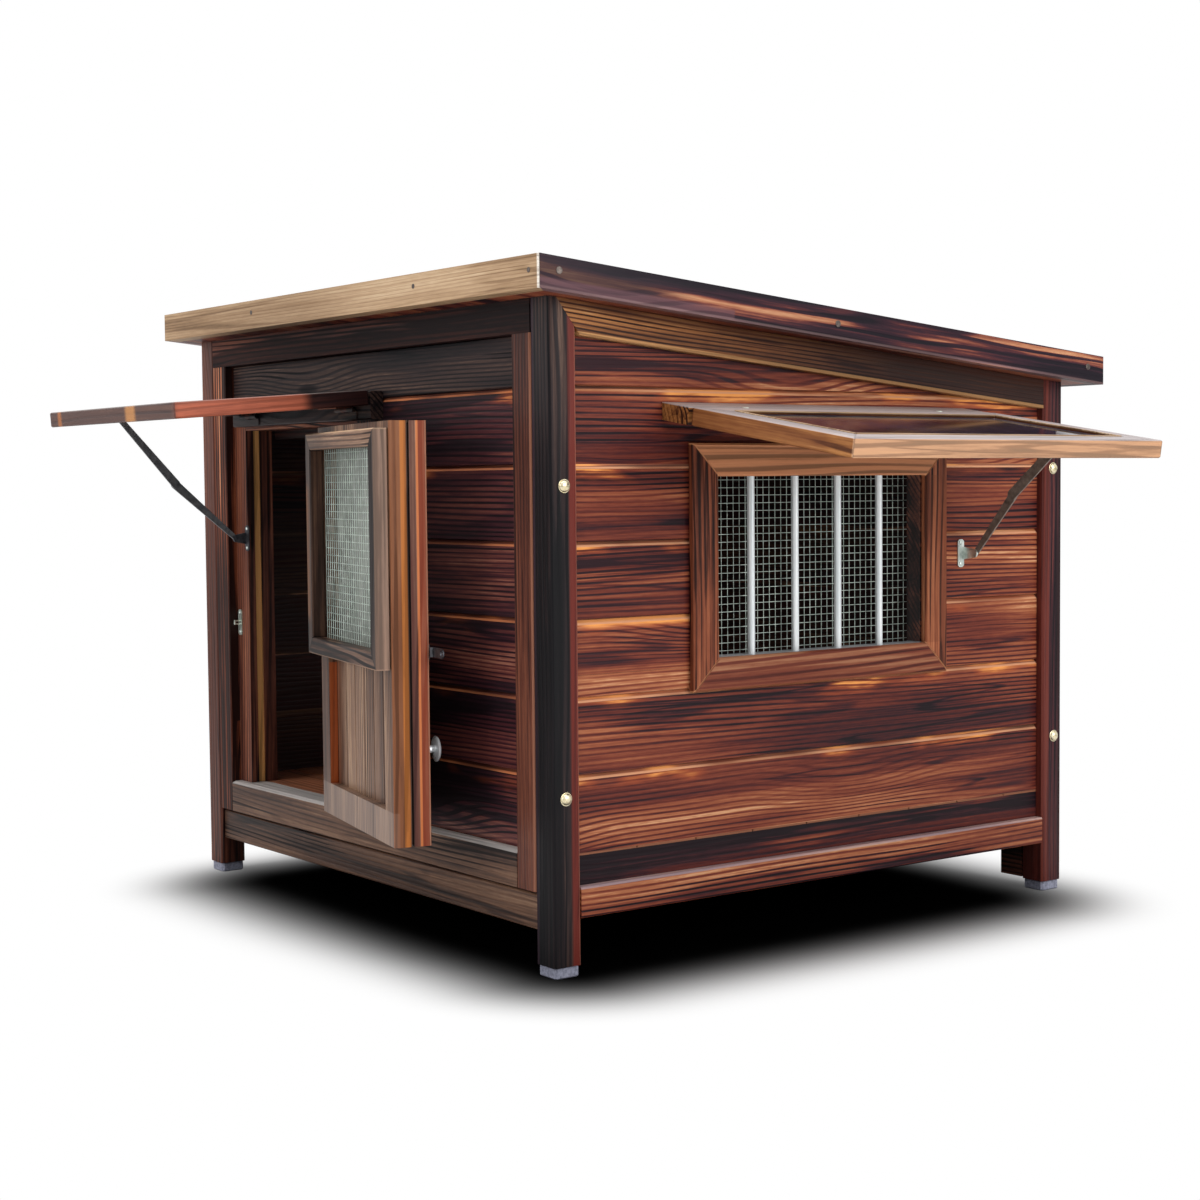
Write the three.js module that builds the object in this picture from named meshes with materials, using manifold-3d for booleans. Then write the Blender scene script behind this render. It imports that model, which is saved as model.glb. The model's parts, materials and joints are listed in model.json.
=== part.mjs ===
// A slant-roofed dog house of scorched cedar. A framed cabin stands on four posts. It has a
// side-hung door and a barred window, and a glazed flap is propped open over each of them.
// Millimetres, +Z up, +X towards the window wall, -Y towards the door wall.
import * as THREE from "three";
import { mergeVertices } from "three/addons/utils/BufferGeometryUtils.js";
import Module from "manifold-3d";

const wasm = await Module();
wasm.setup();

// ---------------------------------------------------------------- driving dimensions

const GAP = 0.3; // between pieces that touch

// Cabin and roof
const CABIN_WIDTH = 940; // over the posts, along X
const CABIN_DEPTH = 910; // over the posts, along Y
const POST_SIDE = 40;
const POST_CHAMFER = 3;
const FOOT_HEIGHT = 14;
const FOOT_INSET = 2; // each side of a foot stands in from the post by this
const EAVE_HEIGHT = 868; // top of the roof at its front edge
const ROOF_FALL = 0.092; // drop for each millimetre towards the back
const ROOF_OVERHANG = 41;
const ROOF_THICKNESS = 40;
const ROOF_BOARD_PITCH = 98;
const FASCIA_THICKNESS = 18;
const EDGE_CHAMFER = 1.5; // sawn timber has its long edges taken off

// Wall boards
const BOARD_THICKNESS = 18;
const BOARD_PITCH = 95;
const BEVEL_RISE = 6; // bevel on the top edge of each board
const BEVEL_DEPTH = 5;
const BEVEL_STEP = 1.5; // shadow line under the next board
const SIDE_RECESS = 12; // wall boards behind the face of the posts
const FRONT_RECESS = 15;

// Heights of the floor and the rails
const FLOOR_TOP = 148;
const FLOOR_UNDERSIDE = 109;
const FLOOR_BOARD = 20;
const RIM_WIDTH = 30;
const JOIST_WIDTH = 38;
const APRON_THICKNESS = 18;
const SIDE_APRON_BOTTOM = 71;
const FRONT_APRON_BOTTOM = 54;
const FRONT_APRON_TOP = 98;
const FRONT_APRON_RECESS = 6;
const FRONT_RAIL_BOTTOM = 102;
const SILL_DROP = 3; // the front edge of the door sill falls by this
const SIDE_RAIL_HEIGHT = 41;
const SIDE_RAIL_DEPTH = 30;
const RAIL_END_TOP = 11; // the near side rail ends this far behind the front of the post,
const RAIL_END_SLANT = 35; // and is cut back by this much over its height
const STILE_WIDTH = 40;
const HEAD_RAIL_HEIGHT = 45; // at the front, under the roof
const HEADER_ABOVE_DOORWAY = 34;
const BACK_STUB_BOTTOM = 16;

// Doorway and door
const DOORWAY_FROM_STILE = 37.7;
const DOORWAY_WIDTH = 337;
const DOORWAY_TOP = 685;
const JAMB_WIDTH = 38;
const JAMB_DEPTH = 43;
const JAMB_BAND_START = 12; // a shallow rebate runs up the reveal
const JAMB_BAND_WIDTH = 10;
const JAMB_BAND_DEPTH = 2;
const STOP_DEPTH = 10;
const STOP_OVERLAP = 7.5;
const DOOR_OPEN_DEGREES = 166.4;
const LEAF_THICKNESS = 48;
const LEAF_BOTTOM = 151;
const LEAF_TOP = 680;
const LEAF_STILE = 37;
const LEAF_BOTTOM_RAIL = 43;
const LEAF_SWEEP_CLEARANCE = 0.5; // the free edge passes the jamb at this distance
const LEAF_HINGE_GAP = 1.5;
const PANEL_RECESS = 12;
const PANEL_GROOVE_DEPTH = 2.5;
const PANEL_GROOVES = 5;
const SCREEN_BOTTOM = 372;
const SCREEN_TOP = 671;
const SCREEN_MEMBER = 22;
const SCREEN_THICKNESS = 19;
const SCREEN_INSET = 5;
const GLAZING_LIP = 6;
const KNOB_ROSE_RADIUS = 16.5;
const KNOB_RADIUS = 8.5;
const KNOB_NECK_RADIUS = 5;
const KNOB_HEIGHT = 25;
const KNOB_FROM_EDGE = 30;
const KNOB_LEVEL = 268;
const HASP_LEVEL = 393;
const HASP_REACH = 33;
const HASP_HEIGHT = 12;
const HASP_EYE = 6;
const HASP_HOLE = 4.2;
const KEEPER_FROM_DOORWAY = 28;

// Window
const WINDOW_CENTRE = -8; // along Y
const WINDOW_WIDTH = 370;
const WINDOW_SILL = 377;
const WINDOW_HEAD = 608;
const TRIM_WIDTH = 42;
const LINING_THICKNESS = 10;
const LINING_BACK = 38; // the lining reaches this far behind the face of the posts
const BAR_RADIUS = 5;
const BAR_COUNT = 4;
const BAR_PITCH = 76.5;
const BAR_RECESS = 21;

// Welded mesh
const WIRE = 1.8;
const WINDOW_MESH_GAPS = [16, 10];
const DOOR_MESH_GAPS = [12, 11];

// Fittings shared by the flaps, the door and the stays
const PIN_RADIUS = 1.6;
const PIN_CLEARANCE = 0.3;
const KNUCKLE_RADIUS = 3.5;
const HINGE_LENGTH = 50;
const HINGE_PLATE = 1.5;
const HINGE_LEAF_WIDTH = 24;
const HINGE_DROP = 4.3; // the underside of a flap lies this far above its hinge pin
const KNUCKLE_GAP = 0.4;
const STAY_THICKNESS = 2.5;
const STAY_PLANE_GAP = 0.5;
const STAY_PIN_RADIUS = 2;
const RIVET_RADIUS = 3.5;
const BRACKET_LENGTH = 39;
const BRACKET_WIDTH = 12;
const PANE_THICKNESS = 4;
const ROUND_STEPS = 16;

// The flap over the door reaches past the doorway on each side. Distances go outwards from its
// hinge pin, and the stay's wall pivot lies below the pin.
const FRONT_FLAP = {
  name: "front_flap",
  pastDoorway: [2, 72],
  pinAbove: 19, // above the doorway
  pinStandOff: 24.2, // from the wall to the pin
  tilt: 4.3,
  reach: 284,
  thickness: 21,
  rail: 38,
  sashGap: -2.5, // the sash starts this far out from the pin
  hingeInset: 61,
  stay: {
    side: -1,
    pivotOut: 16,
    pivotDrop: 182,
    along: 180,
    lower: 128,
    upper: 135.5,
    fold: -1,
    widths: [7, 13, 13, 8], // at the wall, at the elbow on both links, and at the sash
  },
};

// The flap over the window reaches past its trim by the same on each side.
const SIDE_FLAP = {
  name: "side_flap",
  pastTrim: 40,
  pinAbove: 58, // above the window opening
  pinStandOff: 54.7,
  tilt: 8.8,
  reach: 288,
  thickness: 23,
  rail: 39,
  sashGap: 2.5,
  battenThickness: 22,
  hingeInset: 95,
  stay: {
    side: 1,
    pivotOut: 21.7,
    pivotDrop: 168,
    along: 135,
    lower: 108.2,
    upper: 127.1,
    fold: 1,
    widths: [8, 13, 15, 13],
  },
};

// ---------------------------------------------------------------- values that follow

const HALF_WIDTH = CABIN_WIDTH / 2;
const HALF_DEPTH = CABIN_DEPTH / 2;
const POST_INNER_X = HALF_WIDTH - POST_SIDE - GAP; // rails between the posts end here
const POST_INNER_Y = HALF_DEPTH - POST_SIDE - GAP;
const ROOF_FRONT = -HALF_DEPTH - ROOF_OVERHANG;
const EAVE_UNDERSIDE = EAVE_HEIGHT - ROOF_THICKNESS;
const SIDE_FACE = HALF_WIDTH - SIDE_RECESS;
const FRONT_FACE = -HALF_DEPTH + FRONT_RECESS;
const STILE_INNER = HALF_WIDTH - POST_SIDE - STILE_WIDTH - GAP;
const HEAD_RAIL_BOTTOM = EAVE_UNDERSIDE - HEAD_RAIL_HEIGHT;
const HEADER_BOTTOM = DOORWAY_TOP + HEADER_ABOVE_DOORWAY;
const DOORWAY_LEFT = -STILE_INNER + DOORWAY_FROM_STILE;
const DOORWAY_RIGHT = DOORWAY_LEFT + DOORWAY_WIDTH;
FRONT_FLAP.pinHeight = DOORWAY_TOP + FRONT_FLAP.pinAbove;
FRONT_FLAP.left = DOORWAY_LEFT - FRONT_FLAP.pastDoorway[0];
FRONT_FLAP.right = DOORWAY_RIGHT + FRONT_FLAP.pastDoorway[1];
SIDE_FLAP.pinHeight = WINDOW_HEAD + SIDE_FLAP.pinAbove;
SIDE_FLAP.left = WINDOW_CENTRE - WINDOW_WIDTH / 2 - TRIM_WIDTH - SIDE_FLAP.pastTrim;
SIDE_FLAP.right = WINDOW_CENTRE + WINDOW_WIDTH / 2 + TRIM_WIDTH + SIDE_FLAP.pastTrim;
const FAR = 2000; // longer than anything that is trimmed

// ---------------------------------------------------------------- materials

const wood = (color) => new THREE.MeshStandardMaterial({ color, roughness: 0.55, metalness: 0 });
const metal = (color, roughness) => new THREE.MeshStandardMaterial({ color, roughness, metalness: 1 });
const charredWood = wood(0x4a2a22);
const darkWood = wood(0x2b1f1e);
const goldWood = wood(0x8a5530);
const paleWood = wood(0xc9a27a);
const redWood = wood(0x6b3426);
const zinc = metal(0xc8ccc8, 0.35);
const steel = metal(0x6a625a, 0.45);
const chrome = metal(0xe2e4e6, 0.15);
const plastic = new THREE.MeshStandardMaterial({ color: 0x77798c, roughness: 0.6, metalness: 0 });
const clearPane = new THREE.MeshStandardMaterial({
  color: 0xb8c4cc,
  roughness: 0.08,
  metalness: 0,
  transparent: true,
  opacity: 0.4,
});

// ---------------------------------------------------------------- shapes

function box(x0, x1, y0, y1, z0, z1) {
  const geometry = new THREE.BoxGeometry(x1 - x0, y1 - y0, z1 - z0);
  return geometry.translate((x0 + x1) / 2, (y0 + y1) / 2, (z0 + z1) / 2);
}

// The plane square to an axis, as the directions of its two coordinates and of the draw.
const PLANES = {
  x: [new THREE.Vector3(0, 1, 0), new THREE.Vector3(0, 0, 1), new THREE.Vector3(1, 0, 0)],
  y: [new THREE.Vector3(1, 0, 0), new THREE.Vector3(0, 0, 1), new THREE.Vector3(0, -1, 0)],
  z: [new THREE.Vector3(1, 0, 0), new THREE.Vector3(0, 1, 0), new THREE.Vector3(0, 0, 1)],
};

// An outline drawn out along an axis: [y, z] along x, [x, z] along y and [x, y] along z.
// A bevel takes the edges off both ends, inside the outline.
function prism(axis, outline, low, high, { holes = [], bevel = 0 } = {}) {
  const path = (points) => points.map(([a, b]) => new THREE.Vector2(a, b));
  const shape = new THREE.Shape(path(outline));
  shape.holes = holes.map((hole) => new THREE.Path(path(hole)));
  const geometry = new THREE.ExtrudeGeometry(shape, {
    depth: high - low - 2 * bevel,
    bevelEnabled: bevel > 0,
    bevelSize: bevel,
    bevelThickness: bevel,
    bevelOffset: -bevel,
    bevelSegments: 1,
  });
  geometry.translate(0, 0, bevel);
  geometry.applyMatrix4(new THREE.Matrix4().makeBasis(...PLANES[axis]));
  const start = axis === "y" ? -high : low;
  return geometry.translate(...PLANES[axis][2].clone().multiplyScalar(start));
}

const rectangle = (a0, a1, b0, b1) => [
  [a0, b0],
  [a1, b0],
  [a1, b1],
  [a0, b1],
];

const chamfered = (a0, a1, b0, b1, c) => [
  [a0 + c, b0],
  [a1 - c, b0],
  [a1, b0 + c],
  [a1, b1 - c],
  [a1 - c, b1],
  [a0 + c, b1],
  [a0, b1 - c],
  [a0, b0 + c],
];

function arc(a, b, radius, from, to, steps) {
  const points = [];
  for (let i = 0; i <= steps; i++) {
    const angle = from + ((to - from) * i) / steps;
    points.push([a + radius * Math.cos(angle), b + radius * Math.sin(angle)]);
  }
  return points;
}

const circle = (a, b, radius) => arc(a, b, radius, 0, 2 * Math.PI, ROUND_STEPS).slice(0, -1);
const rod = (axis, a, b, radius, low, high) => prism(axis, circle(a, b, radius), low, high);

function solid(geometry) {
  const bare = new THREE.BufferGeometry();
  bare.setAttribute("position", geometry.getAttribute("position"));
  bare.setIndex(geometry.getIndex());
  const merged = mergeVertices(bare, 1e-4);
  const triVerts = new Uint32Array(merged.index.array);
  const vertProperties = merged.attributes.position.array;
  return new wasm.Manifold(new wasm.Mesh({ numProp: 3, vertProperties, triVerts }));
}

function geometryOf(manifold) {
  const mesh = manifold.getMesh();
  const geometry = new THREE.BufferGeometry();
  geometry.setAttribute("position", new THREE.BufferAttribute(mesh.vertProperties, 3));
  geometry.setIndex(new THREE.BufferAttribute(mesh.triVerts, 1));
  return geometry;
}

const join = (...pieces) => geometryOf(pieces.map(solid).reduce((a, b) => a.add(b)));
const cut = (stock, ...tools) => geometryOf(tools.map(solid).reduce((a, b) => a.subtract(b), solid(stock)));

function piece(name, geometry, material) {
  const flat = geometry.getIndex() ? geometry.toNonIndexed() : geometry;
  flat.computeVertexNormals();
  const mesh = new THREE.Mesh(flat, material);
  mesh.name = name;
  return mesh;
}

function group(...children) {
  const made = new THREE.Group();
  made.add(...children);
  return made;
}

// ---------------------------------------------------------------- roof line

const roofUnderside = (y) => EAVE_UNDERSIDE - ROOF_FALL * (y - ROOF_FRONT);

// Timber made level at the front eave slides down with the fall of the roof.
function fallWithRoof(geometry) {
  const shear = new THREE.Matrix4();
  shear.elements[6] = -ROOF_FALL;
  shear.elements[14] = ROOF_FALL * ROOF_FRONT;
  return geometry.applyMatrix4(shear);
}

// Takes off what stands above the roof's underside, or above a line that far below it.
function trimUnderRoof(geometry, below = 0) {
  const waste = box(-FAR, FAR, -FAR, FAR, EAVE_UNDERSIDE - below - GAP, EAVE_UNDERSIDE + FAR);
  return cut(geometry, fallWithRoof(waste));
}

// ---------------------------------------------------------------- boards

// Stacked boards seen end on. The top edge of each is bevelled on the outside.
function boardSection(outer, inner, low, high, bevelTop = false) {
  const out = Math.sign(outer - inner);
  const bevelled = outer - out * BEVEL_DEPTH;
  const outline = [
    [inner, low],
    [outer, low],
  ];
  for (let joint = FLOOR_TOP + 1 + BOARD_PITCH; joint + BEVEL_STEP < high; joint += BOARD_PITCH) {
    if (joint - BEVEL_RISE <= low) continue;
    outline.push([outer, joint - BEVEL_RISE], [bevelled, joint], [outer, joint + BEVEL_STEP]);
  }
  if (bevelTop) outline.push([outer, high - BEVEL_RISE], [bevelled, high]);
  else outline.push([outer, high]);
  outline.push([inner, high]);
  return outline;
}

// ---------------------------------------------------------------- frame and floor

function railEnd(grow) {
  const top = -HALF_DEPTH + RAIL_END_TOP - grow;
  const bottom = top + RAIL_END_SLANT;
  const underRail = (y) => roofUnderside(y) - GAP - SIDE_RAIL_HEIGHT - grow;
  return { top, bottom, underRail };
}

function makePost(name, sideX, sideY) {
  const x0 = sideX > 0 ? HALF_WIDTH - POST_SIDE : -HALF_WIDTH;
  const y0 = sideY > 0 ? HALF_DEPTH - POST_SIDE : -HALF_DEPTH;
  const section = chamfered(x0, x0 + POST_SIDE, y0, y0 + POST_SIDE, POST_CHAMFER);
  let geometry = trimUnderRoof(prism("z", section, FOOT_HEIGHT, EAVE_HEIGHT));
  if (sideX > 0 && sideY < 0) {
    // The side rail is housed in the outer part of this post.
    const end = railEnd(GAP);
    const back = Math.max(end.bottom, y0 + POST_SIDE) + 1;
    const housing = [
      [end.top, EAVE_HEIGHT],
      [end.top, roofUnderside(end.top)],
      [end.bottom, end.underRail(end.bottom)],
      [back, end.underRail(back)],
      [back, EAVE_HEIGHT],
    ];
    geometry = cut(geometry, prism("x", housing, HALF_WIDTH - SIDE_RAIL_DEPTH - GAP, FAR));
  }
  return piece(name, geometry, charredWood);
}

function makeFoot(name, sideX, sideY) {
  const half = POST_SIDE / 2 - FOOT_INSET;
  const section = chamfered(-half, half, -half, half, POST_CHAMFER);
  const mesh = piece(name, prism("z", section, 0, FOOT_HEIGHT - GAP, { bevel: 1.5 }), plastic);
  mesh.position.set(sideX * (HALF_WIDTH - POST_SIDE / 2), sideY * (HALF_DEPTH - POST_SIDE / 2), 0);
  return mesh;
}

function makeAprons() {
  const top = FLOOR_UNDERSIDE;
  const x = HALF_WIDTH;
  const y = HALF_DEPTH;
  const frontFace = -y + FRONT_APRON_RECESS;
  const across = (y0, y1, z0, z1) =>
    prism("x", chamfered(y0, y1, z0, z1, EDGE_CHAMFER), -POST_INNER_X, POST_INNER_X);
  const along = (x0, x1) =>
    prism("y", chamfered(x0, x1, SIDE_APRON_BOTTOM, top, EDGE_CHAMFER), -POST_INNER_Y, POST_INNER_Y);
  const front = across(frontFace, frontFace + APRON_THICKNESS, FRONT_APRON_BOTTOM, FRONT_APRON_TOP);
  const stub = (side) => {
    const ends = [side * POST_INNER_X, side * (POST_INNER_X - STILE_WIDTH)].sort((a, b) => a - b);
    return box(...ends, POST_INNER_Y + 2 * GAP, y - EDGE_CHAMFER, BACK_STUB_BOTTOM, top - 2);
  };
  const back = join(across(y - APRON_THICKNESS, y, SIDE_APRON_BOTTOM, top), stub(-1), stub(1));
  return [
    piece("front_apron", front, charredWood),
    piece("right_apron", along(x - APRON_THICKNESS, x), charredWood),
    piece("left_apron", along(-x, -x + APRON_THICKNESS), charredWood),
    piece("back_apron", back, charredWood),
  ];
}

// Floorboards run from side to side on a rim and two joists.
function makeFloor() {
  const x = SIDE_FACE - GAP;
  const front = -POST_INNER_Y;
  const back = HALF_DEPTH - SIDE_RECESS - GAP;
  const boardsUnder = FLOOR_TOP - FLOOR_BOARD;
  const section = [
    [front, boardsUnder],
    [front, FLOOR_TOP],
  ];
  for (let seam = front + BOARD_PITCH; seam < back - BOARD_PITCH / 2; seam += BOARD_PITCH) {
    section.push([seam - 1.5, FLOOR_TOP], [seam, FLOOR_TOP - 3], [seam + 1.5, FLOOR_TOP]);
  }
  section.push([back, FLOOR_TOP], [back, boardsUnder]);
  const under = FLOOR_UNDERSIDE + GAP;
  const rimTop = boardsUnder + 1;
  const beams = [
    box(-x, x, front, front + RIM_WIDTH, under, rimTop),
    box(-x, x, back - RIM_WIDTH, back, under, rimTop),
    box(-x, -x + RIM_WIDTH, front, back, under, rimTop),
    box(x - RIM_WIDTH, x, front, back, under, rimTop),
  ];
  for (const share of [-1, 1]) {
    const centre = (share * CABIN_DEPTH) / 6;
    beams.push(box(-x + 1, x - 1, centre - JOIST_WIDTH / 2, centre + JOIST_WIDTH / 2, under, rimTop));
  }
  const postHoles = [-1, 1].map((side) => {
    const xs = [side * POST_INNER_X, side * FAR].sort((a, b) => a - b);
    return box(...xs, POST_INNER_Y, FAR, 0, EAVE_HEIGHT);
  });
  const deck = cut(join(prism("x", section, -x, x), ...beams), ...postHoles);
  return piece("floor_deck", deck, charredWood);
}

// Stiles and rails of the front stand flush with the posts.
function makeFrontFrame() {
  const y0 = -HALF_DEPTH;
  const y1 = -HALF_DEPTH + POST_SIDE;
  const stile = (x0, x1) =>
    prism("z", chamfered(x0, x1, y0, y1, EDGE_CHAMFER), FRONT_RAIL_BOTTOM, HEAD_RAIL_BOTTOM - GAP);
  const headRail = prism("x", rectangle(y0, y1, HEAD_RAIL_BOTTOM, EAVE_HEIGHT), -POST_INNER_X, POST_INNER_X);
  const sill = [
    [y0, FRONT_RAIL_BOTTOM],
    [y0, FLOOR_TOP - SILL_DROP],
    [y0 + 2 * SILL_DROP, FLOOR_TOP],
    [y1, FLOOR_TOP],
    [y1, FRONT_RAIL_BOTTOM],
  ];
  return [
    piece("front_stile_left", stile(-POST_INNER_X, -STILE_INNER - GAP), charredWood),
    piece("front_stile_right", stile(STILE_INNER + GAP, POST_INNER_X), redWood),
    piece("front_top_rail", trimUnderRoof(headRail), darkWood),
    piece("front_bottom_rail", prism("x", sill, -STILE_INNER, STILE_INNER), charredWood),
  ];
}

// ---------------------------------------------------------------- front wall and doorway

function makeFrontWall() {
  const face = FRONT_FACE;
  const back = face + BOARD_THICKNESS;
  const jambFoot = FLOOR_TOP + GAP;
  const jambTop = HEADER_BOTTOM - GAP;
  const header = chamfered(face, back, HEADER_BOTTOM + GAP, HEAD_RAIL_BOTTOM - GAP, EDGE_CHAMFER);
  const boards = boardSection(face, back, jambFoot, jambTop, true);
  const bandStart = face + JAMB_BAND_START;
  const band = (x0, x1) => box(x0, x1, bandStart, bandStart + JAMB_BAND_WIDTH, 0, EAVE_HEIGHT);
  const left = cut(
    box(-STILE_INNER, DOORWAY_LEFT, face, face + JAMB_DEPTH, jambFoot, jambTop),
    band(DOORWAY_LEFT - JAMB_BAND_DEPTH, DOORWAY_LEFT + 1),
  );
  const right = cut(
    box(DOORWAY_RIGHT, DOORWAY_RIGHT + JAMB_WIDTH, face, face + JAMB_DEPTH, jambFoot, jambTop),
    band(DOORWAY_RIGHT - 1, DOORWAY_RIGHT + JAMB_BAND_DEPTH),
  );
  // The head jamb carries the stop that the closed leaf meets.
  const stopFace = face + LEAF_THICKNESS + LEAF_SWEEP_CLEARANCE;
  const head = [
    [face, jambTop],
    [face, DOORWAY_TOP],
    [stopFace, DOORWAY_TOP],
    [stopFace, LEAF_TOP - STOP_OVERLAP],
    [stopFace + STOP_DEPTH, LEAF_TOP - STOP_OVERLAP],
    [stopFace + STOP_DEPTH, jambTop],
  ];
  const boardsLeft = DOORWAY_RIGHT + JAMB_WIDTH + GAP;
  return [
    piece("header_board", prism("x", header, -STILE_INNER, STILE_INNER), darkWood),
    piece("front_wall_boards", prism("x", boards, boardsLeft, STILE_INNER), charredWood),
    piece("jamb_left", left, goldWood),
    piece("jamb_right", right, charredWood),
    piece("jamb_head", prism("x", head, DOORWAY_LEFT + GAP, DOORWAY_RIGHT - GAP), charredWood),
  ];
}

// ---------------------------------------------------------------- side and back walls

const WALL_FOOT = FLOOR_TOP + GAP;
const BOARDS_UNDER_RAIL = SIDE_RAIL_HEIGHT + GAP;
const HOLE_FRONT = WINDOW_CENTRE - WINDOW_WIDTH / 2 - LINING_THICKNESS - GAP;
const HOLE_BACK = WINDOW_CENTRE + WINDOW_WIDTH / 2 + LINING_THICKNESS + GAP;
const HOLE_LOW = WINDOW_SILL - LINING_THICKNESS - GAP;
const HOLE_HIGH = WINDOW_HEAD + LINING_THICKNESS + GAP;

// The window wall is four groups of boards round the opening, under a planted top rail.
function makeWindowWall() {
  const inner = SIDE_FACE - BOARD_THICKNESS;
  const boards = (z0, z1, y0, y1) => prism("y", boardSection(SIDE_FACE, inner, z0, z1), y0, y1);
  const end = railEnd(0);
  const railTop = (y) => roofUnderside(y) - GAP;
  const rail = [
    [end.top, railTop(end.top)],
    [end.bottom, end.underRail(end.bottom)],
    [POST_INNER_Y, end.underRail(POST_INNER_Y)],
    [POST_INNER_Y, railTop(POST_INNER_Y)],
  ];
  const upper = boards(HOLE_HIGH, EAVE_HEIGHT, -POST_INNER_Y, POST_INNER_Y);
  const beside = (y0, y1) => boards(HOLE_LOW + GAP, HOLE_HIGH - GAP, y0, y1);
  return [
    piece("right_wall_lower", boards(WALL_FOOT, HOLE_LOW, -POST_INNER_Y, POST_INNER_Y), charredWood),
    piece("right_wall_upper", trimUnderRoof(upper, BOARDS_UNDER_RAIL), charredWood),
    piece("right_wall_front", beside(-POST_INNER_Y, HOLE_FRONT), charredWood),
    piece("right_wall_back", beside(HOLE_BACK, POST_INNER_Y), charredWood),
    piece("right_top_rail", prism("x", rail, HALF_WIDTH - SIDE_RAIL_DEPTH, HALF_WIDTH), goldWood),
  ];
}

// The left and back walls are closed, each with its top rail glued on.
function makePlainWalls() {
  const railLow = EAVE_UNDERSIDE - GAP - SIDE_RAIL_HEIGHT;
  const railHigh = EAVE_UNDERSIDE - GAP;
  const overlap = 1;
  const leftBoards = prism(
    "y",
    boardSection(-SIDE_FACE, -SIDE_FACE + BOARD_THICKNESS, WALL_FOOT, EAVE_HEIGHT),
    -POST_INNER_Y,
    POST_INNER_Y,
  );
  const leftRail = box(
    -HALF_WIDTH,
    -HALF_WIDTH + SIDE_RAIL_DEPTH,
    -POST_INNER_Y,
    POST_INNER_Y,
    railLow,
    railHigh,
  );
  const backFace = HALF_DEPTH - SIDE_RECESS;
  const backBoards = prism(
    "x",
    boardSection(backFace, backFace - BOARD_THICKNESS, WALL_FOOT, EAVE_HEIGHT),
    -POST_INNER_X,
    POST_INNER_X,
  );
  const backRail = box(
    -POST_INNER_X,
    POST_INNER_X,
    HALF_DEPTH - SIDE_RAIL_DEPTH,
    HALF_DEPTH,
    railLow,
    railHigh,
  );
  const under = SIDE_RAIL_HEIGHT - overlap;
  return [
    piece("left_wall", join(trimUnderRoof(leftBoards, under), fallWithRoof(leftRail)), charredWood),
    piece("back_wall", join(trimUnderRoof(backBoards, under), fallWithRoof(backRail)), charredWood),
  ];
}

// ---------------------------------------------------------------- roof

function makeRoof() {
  const x = HALF_WIDTH + ROOF_OVERHANG;
  const y = HALF_DEPTH + ROOF_OVERHANG;
  const innerX = x - FASCIA_THICKNESS - GAP;
  const innerY = y - FASCIA_THICKNESS - GAP;
  // Grooved boards run down the slope.
  const section = [
    [innerX, EAVE_UNDERSIDE],
    [innerX, EAVE_HEIGHT],
  ];
  const seams = Math.floor(innerX / ROOF_BOARD_PITCH - 0.2);
  for (let i = seams; i >= -seams; i--) {
    const seam = i * ROOF_BOARD_PITCH;
    section.push([seam + 3, EAVE_HEIGHT], [seam, EAVE_HEIGHT - 4], [seam - 3, EAVE_HEIGHT]);
  }
  section.push([-innerX, EAVE_HEIGHT], [-innerX, EAVE_UNDERSIDE]);
  const panel = fallWithRoof(prism("y", section, -innerY, innerY));
  // Fascia boards meet at mitred corners.
  const mitre = GAP * 0.75;
  const t = FASCIA_THICKNESS;
  const frontPlan = [
    [-x + mitre, -y],
    [x - mitre, -y],
    [x - t - mitre, -y + t],
    [-x + t + mitre, -y + t],
  ];
  const rightPlan = [
    [x, -y + mitre],
    [x, y - mitre],
    [x - t, y - t - mitre],
    [x - t, -y + t + mitre],
  ];
  const fascia = (plan) => fallWithRoof(prism("z", plan, EAVE_UNDERSIDE, EAVE_HEIGHT));
  const turned = (plan) => plan.map(([a, b]) => [-a, -b]);
  return [
    piece("roof_panel", panel, darkWood),
    piece("front_fascia", fascia(frontPlan), paleWood),
    piece("right_fascia", fascia(rightPlan), darkWood),
    piece("left_fascia", fascia(turned(rightPlan)), darkWood),
    piece("back_fascia", fascia(turned(frontPlan)), charredWood),
  ];
}

// ---------------------------------------------------------------- window

// Saw lines across the corners of a frame, where its members meet at 45 degrees.
function mitreLines(axis, a0, a1, b0, b1, member, face) {
  const lines = [];
  const width = 1.2;
  const depth = 1;
  for (const [a, b, turn] of [
    [a0, b0, 1],
    [a1, b1, 1],
    [a1, b0, -1],
    [a0, b1, -1],
  ]) {
    const towards = [a === a0 ? 1 : -1, b === b0 ? 1 : -1];
    const centre = [a + (towards[0] * member) / 2, b + (towards[1] * member) / 2];
    const half = member * 0.8;
    const c = Math.SQRT1_2;
    const along = [c * half, c * half * turn];
    const across = [-c * turn * (width / 2), c * (width / 2)];
    const corner = (s, t) => [
      centre[0] + s * along[0] + t * across[0],
      centre[1] + s * along[1] + t * across[1],
    ];
    const outline = [corner(-1, -1), corner(1, -1), corner(1, 1), corner(-1, 1)];
    lines.push(prism(axis, outline, face - depth, face + depth));
  }
  return lines;
}

// Crossed wires in two layers, sunk into each other where they are welded.
function weldedMesh(axis, a0, a1, b0, b1, depth, [gapsA, gapsB]) {
  const layer = WIRE * 0.8;
  const bar = (p0, p1, q0, q1, low) => prism(axis, rectangle(p0, p1, q0, q1), low, low + WIRE);
  const wires = [];
  for (let i = 0; i <= gapsA; i++) {
    const a = a0 + ((a1 - a0 - WIRE) * i) / gapsA;
    wires.push(bar(a, a + WIRE, b0, b1, depth));
  }
  for (let i = 0; i <= gapsB; i++) {
    const b = b0 + ((b1 - b0 - WIRE) * i) / gapsB;
    wires.push(bar(a0, a1, b, b + WIRE, depth + layer));
  }
  return join(...wires);
}

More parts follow.
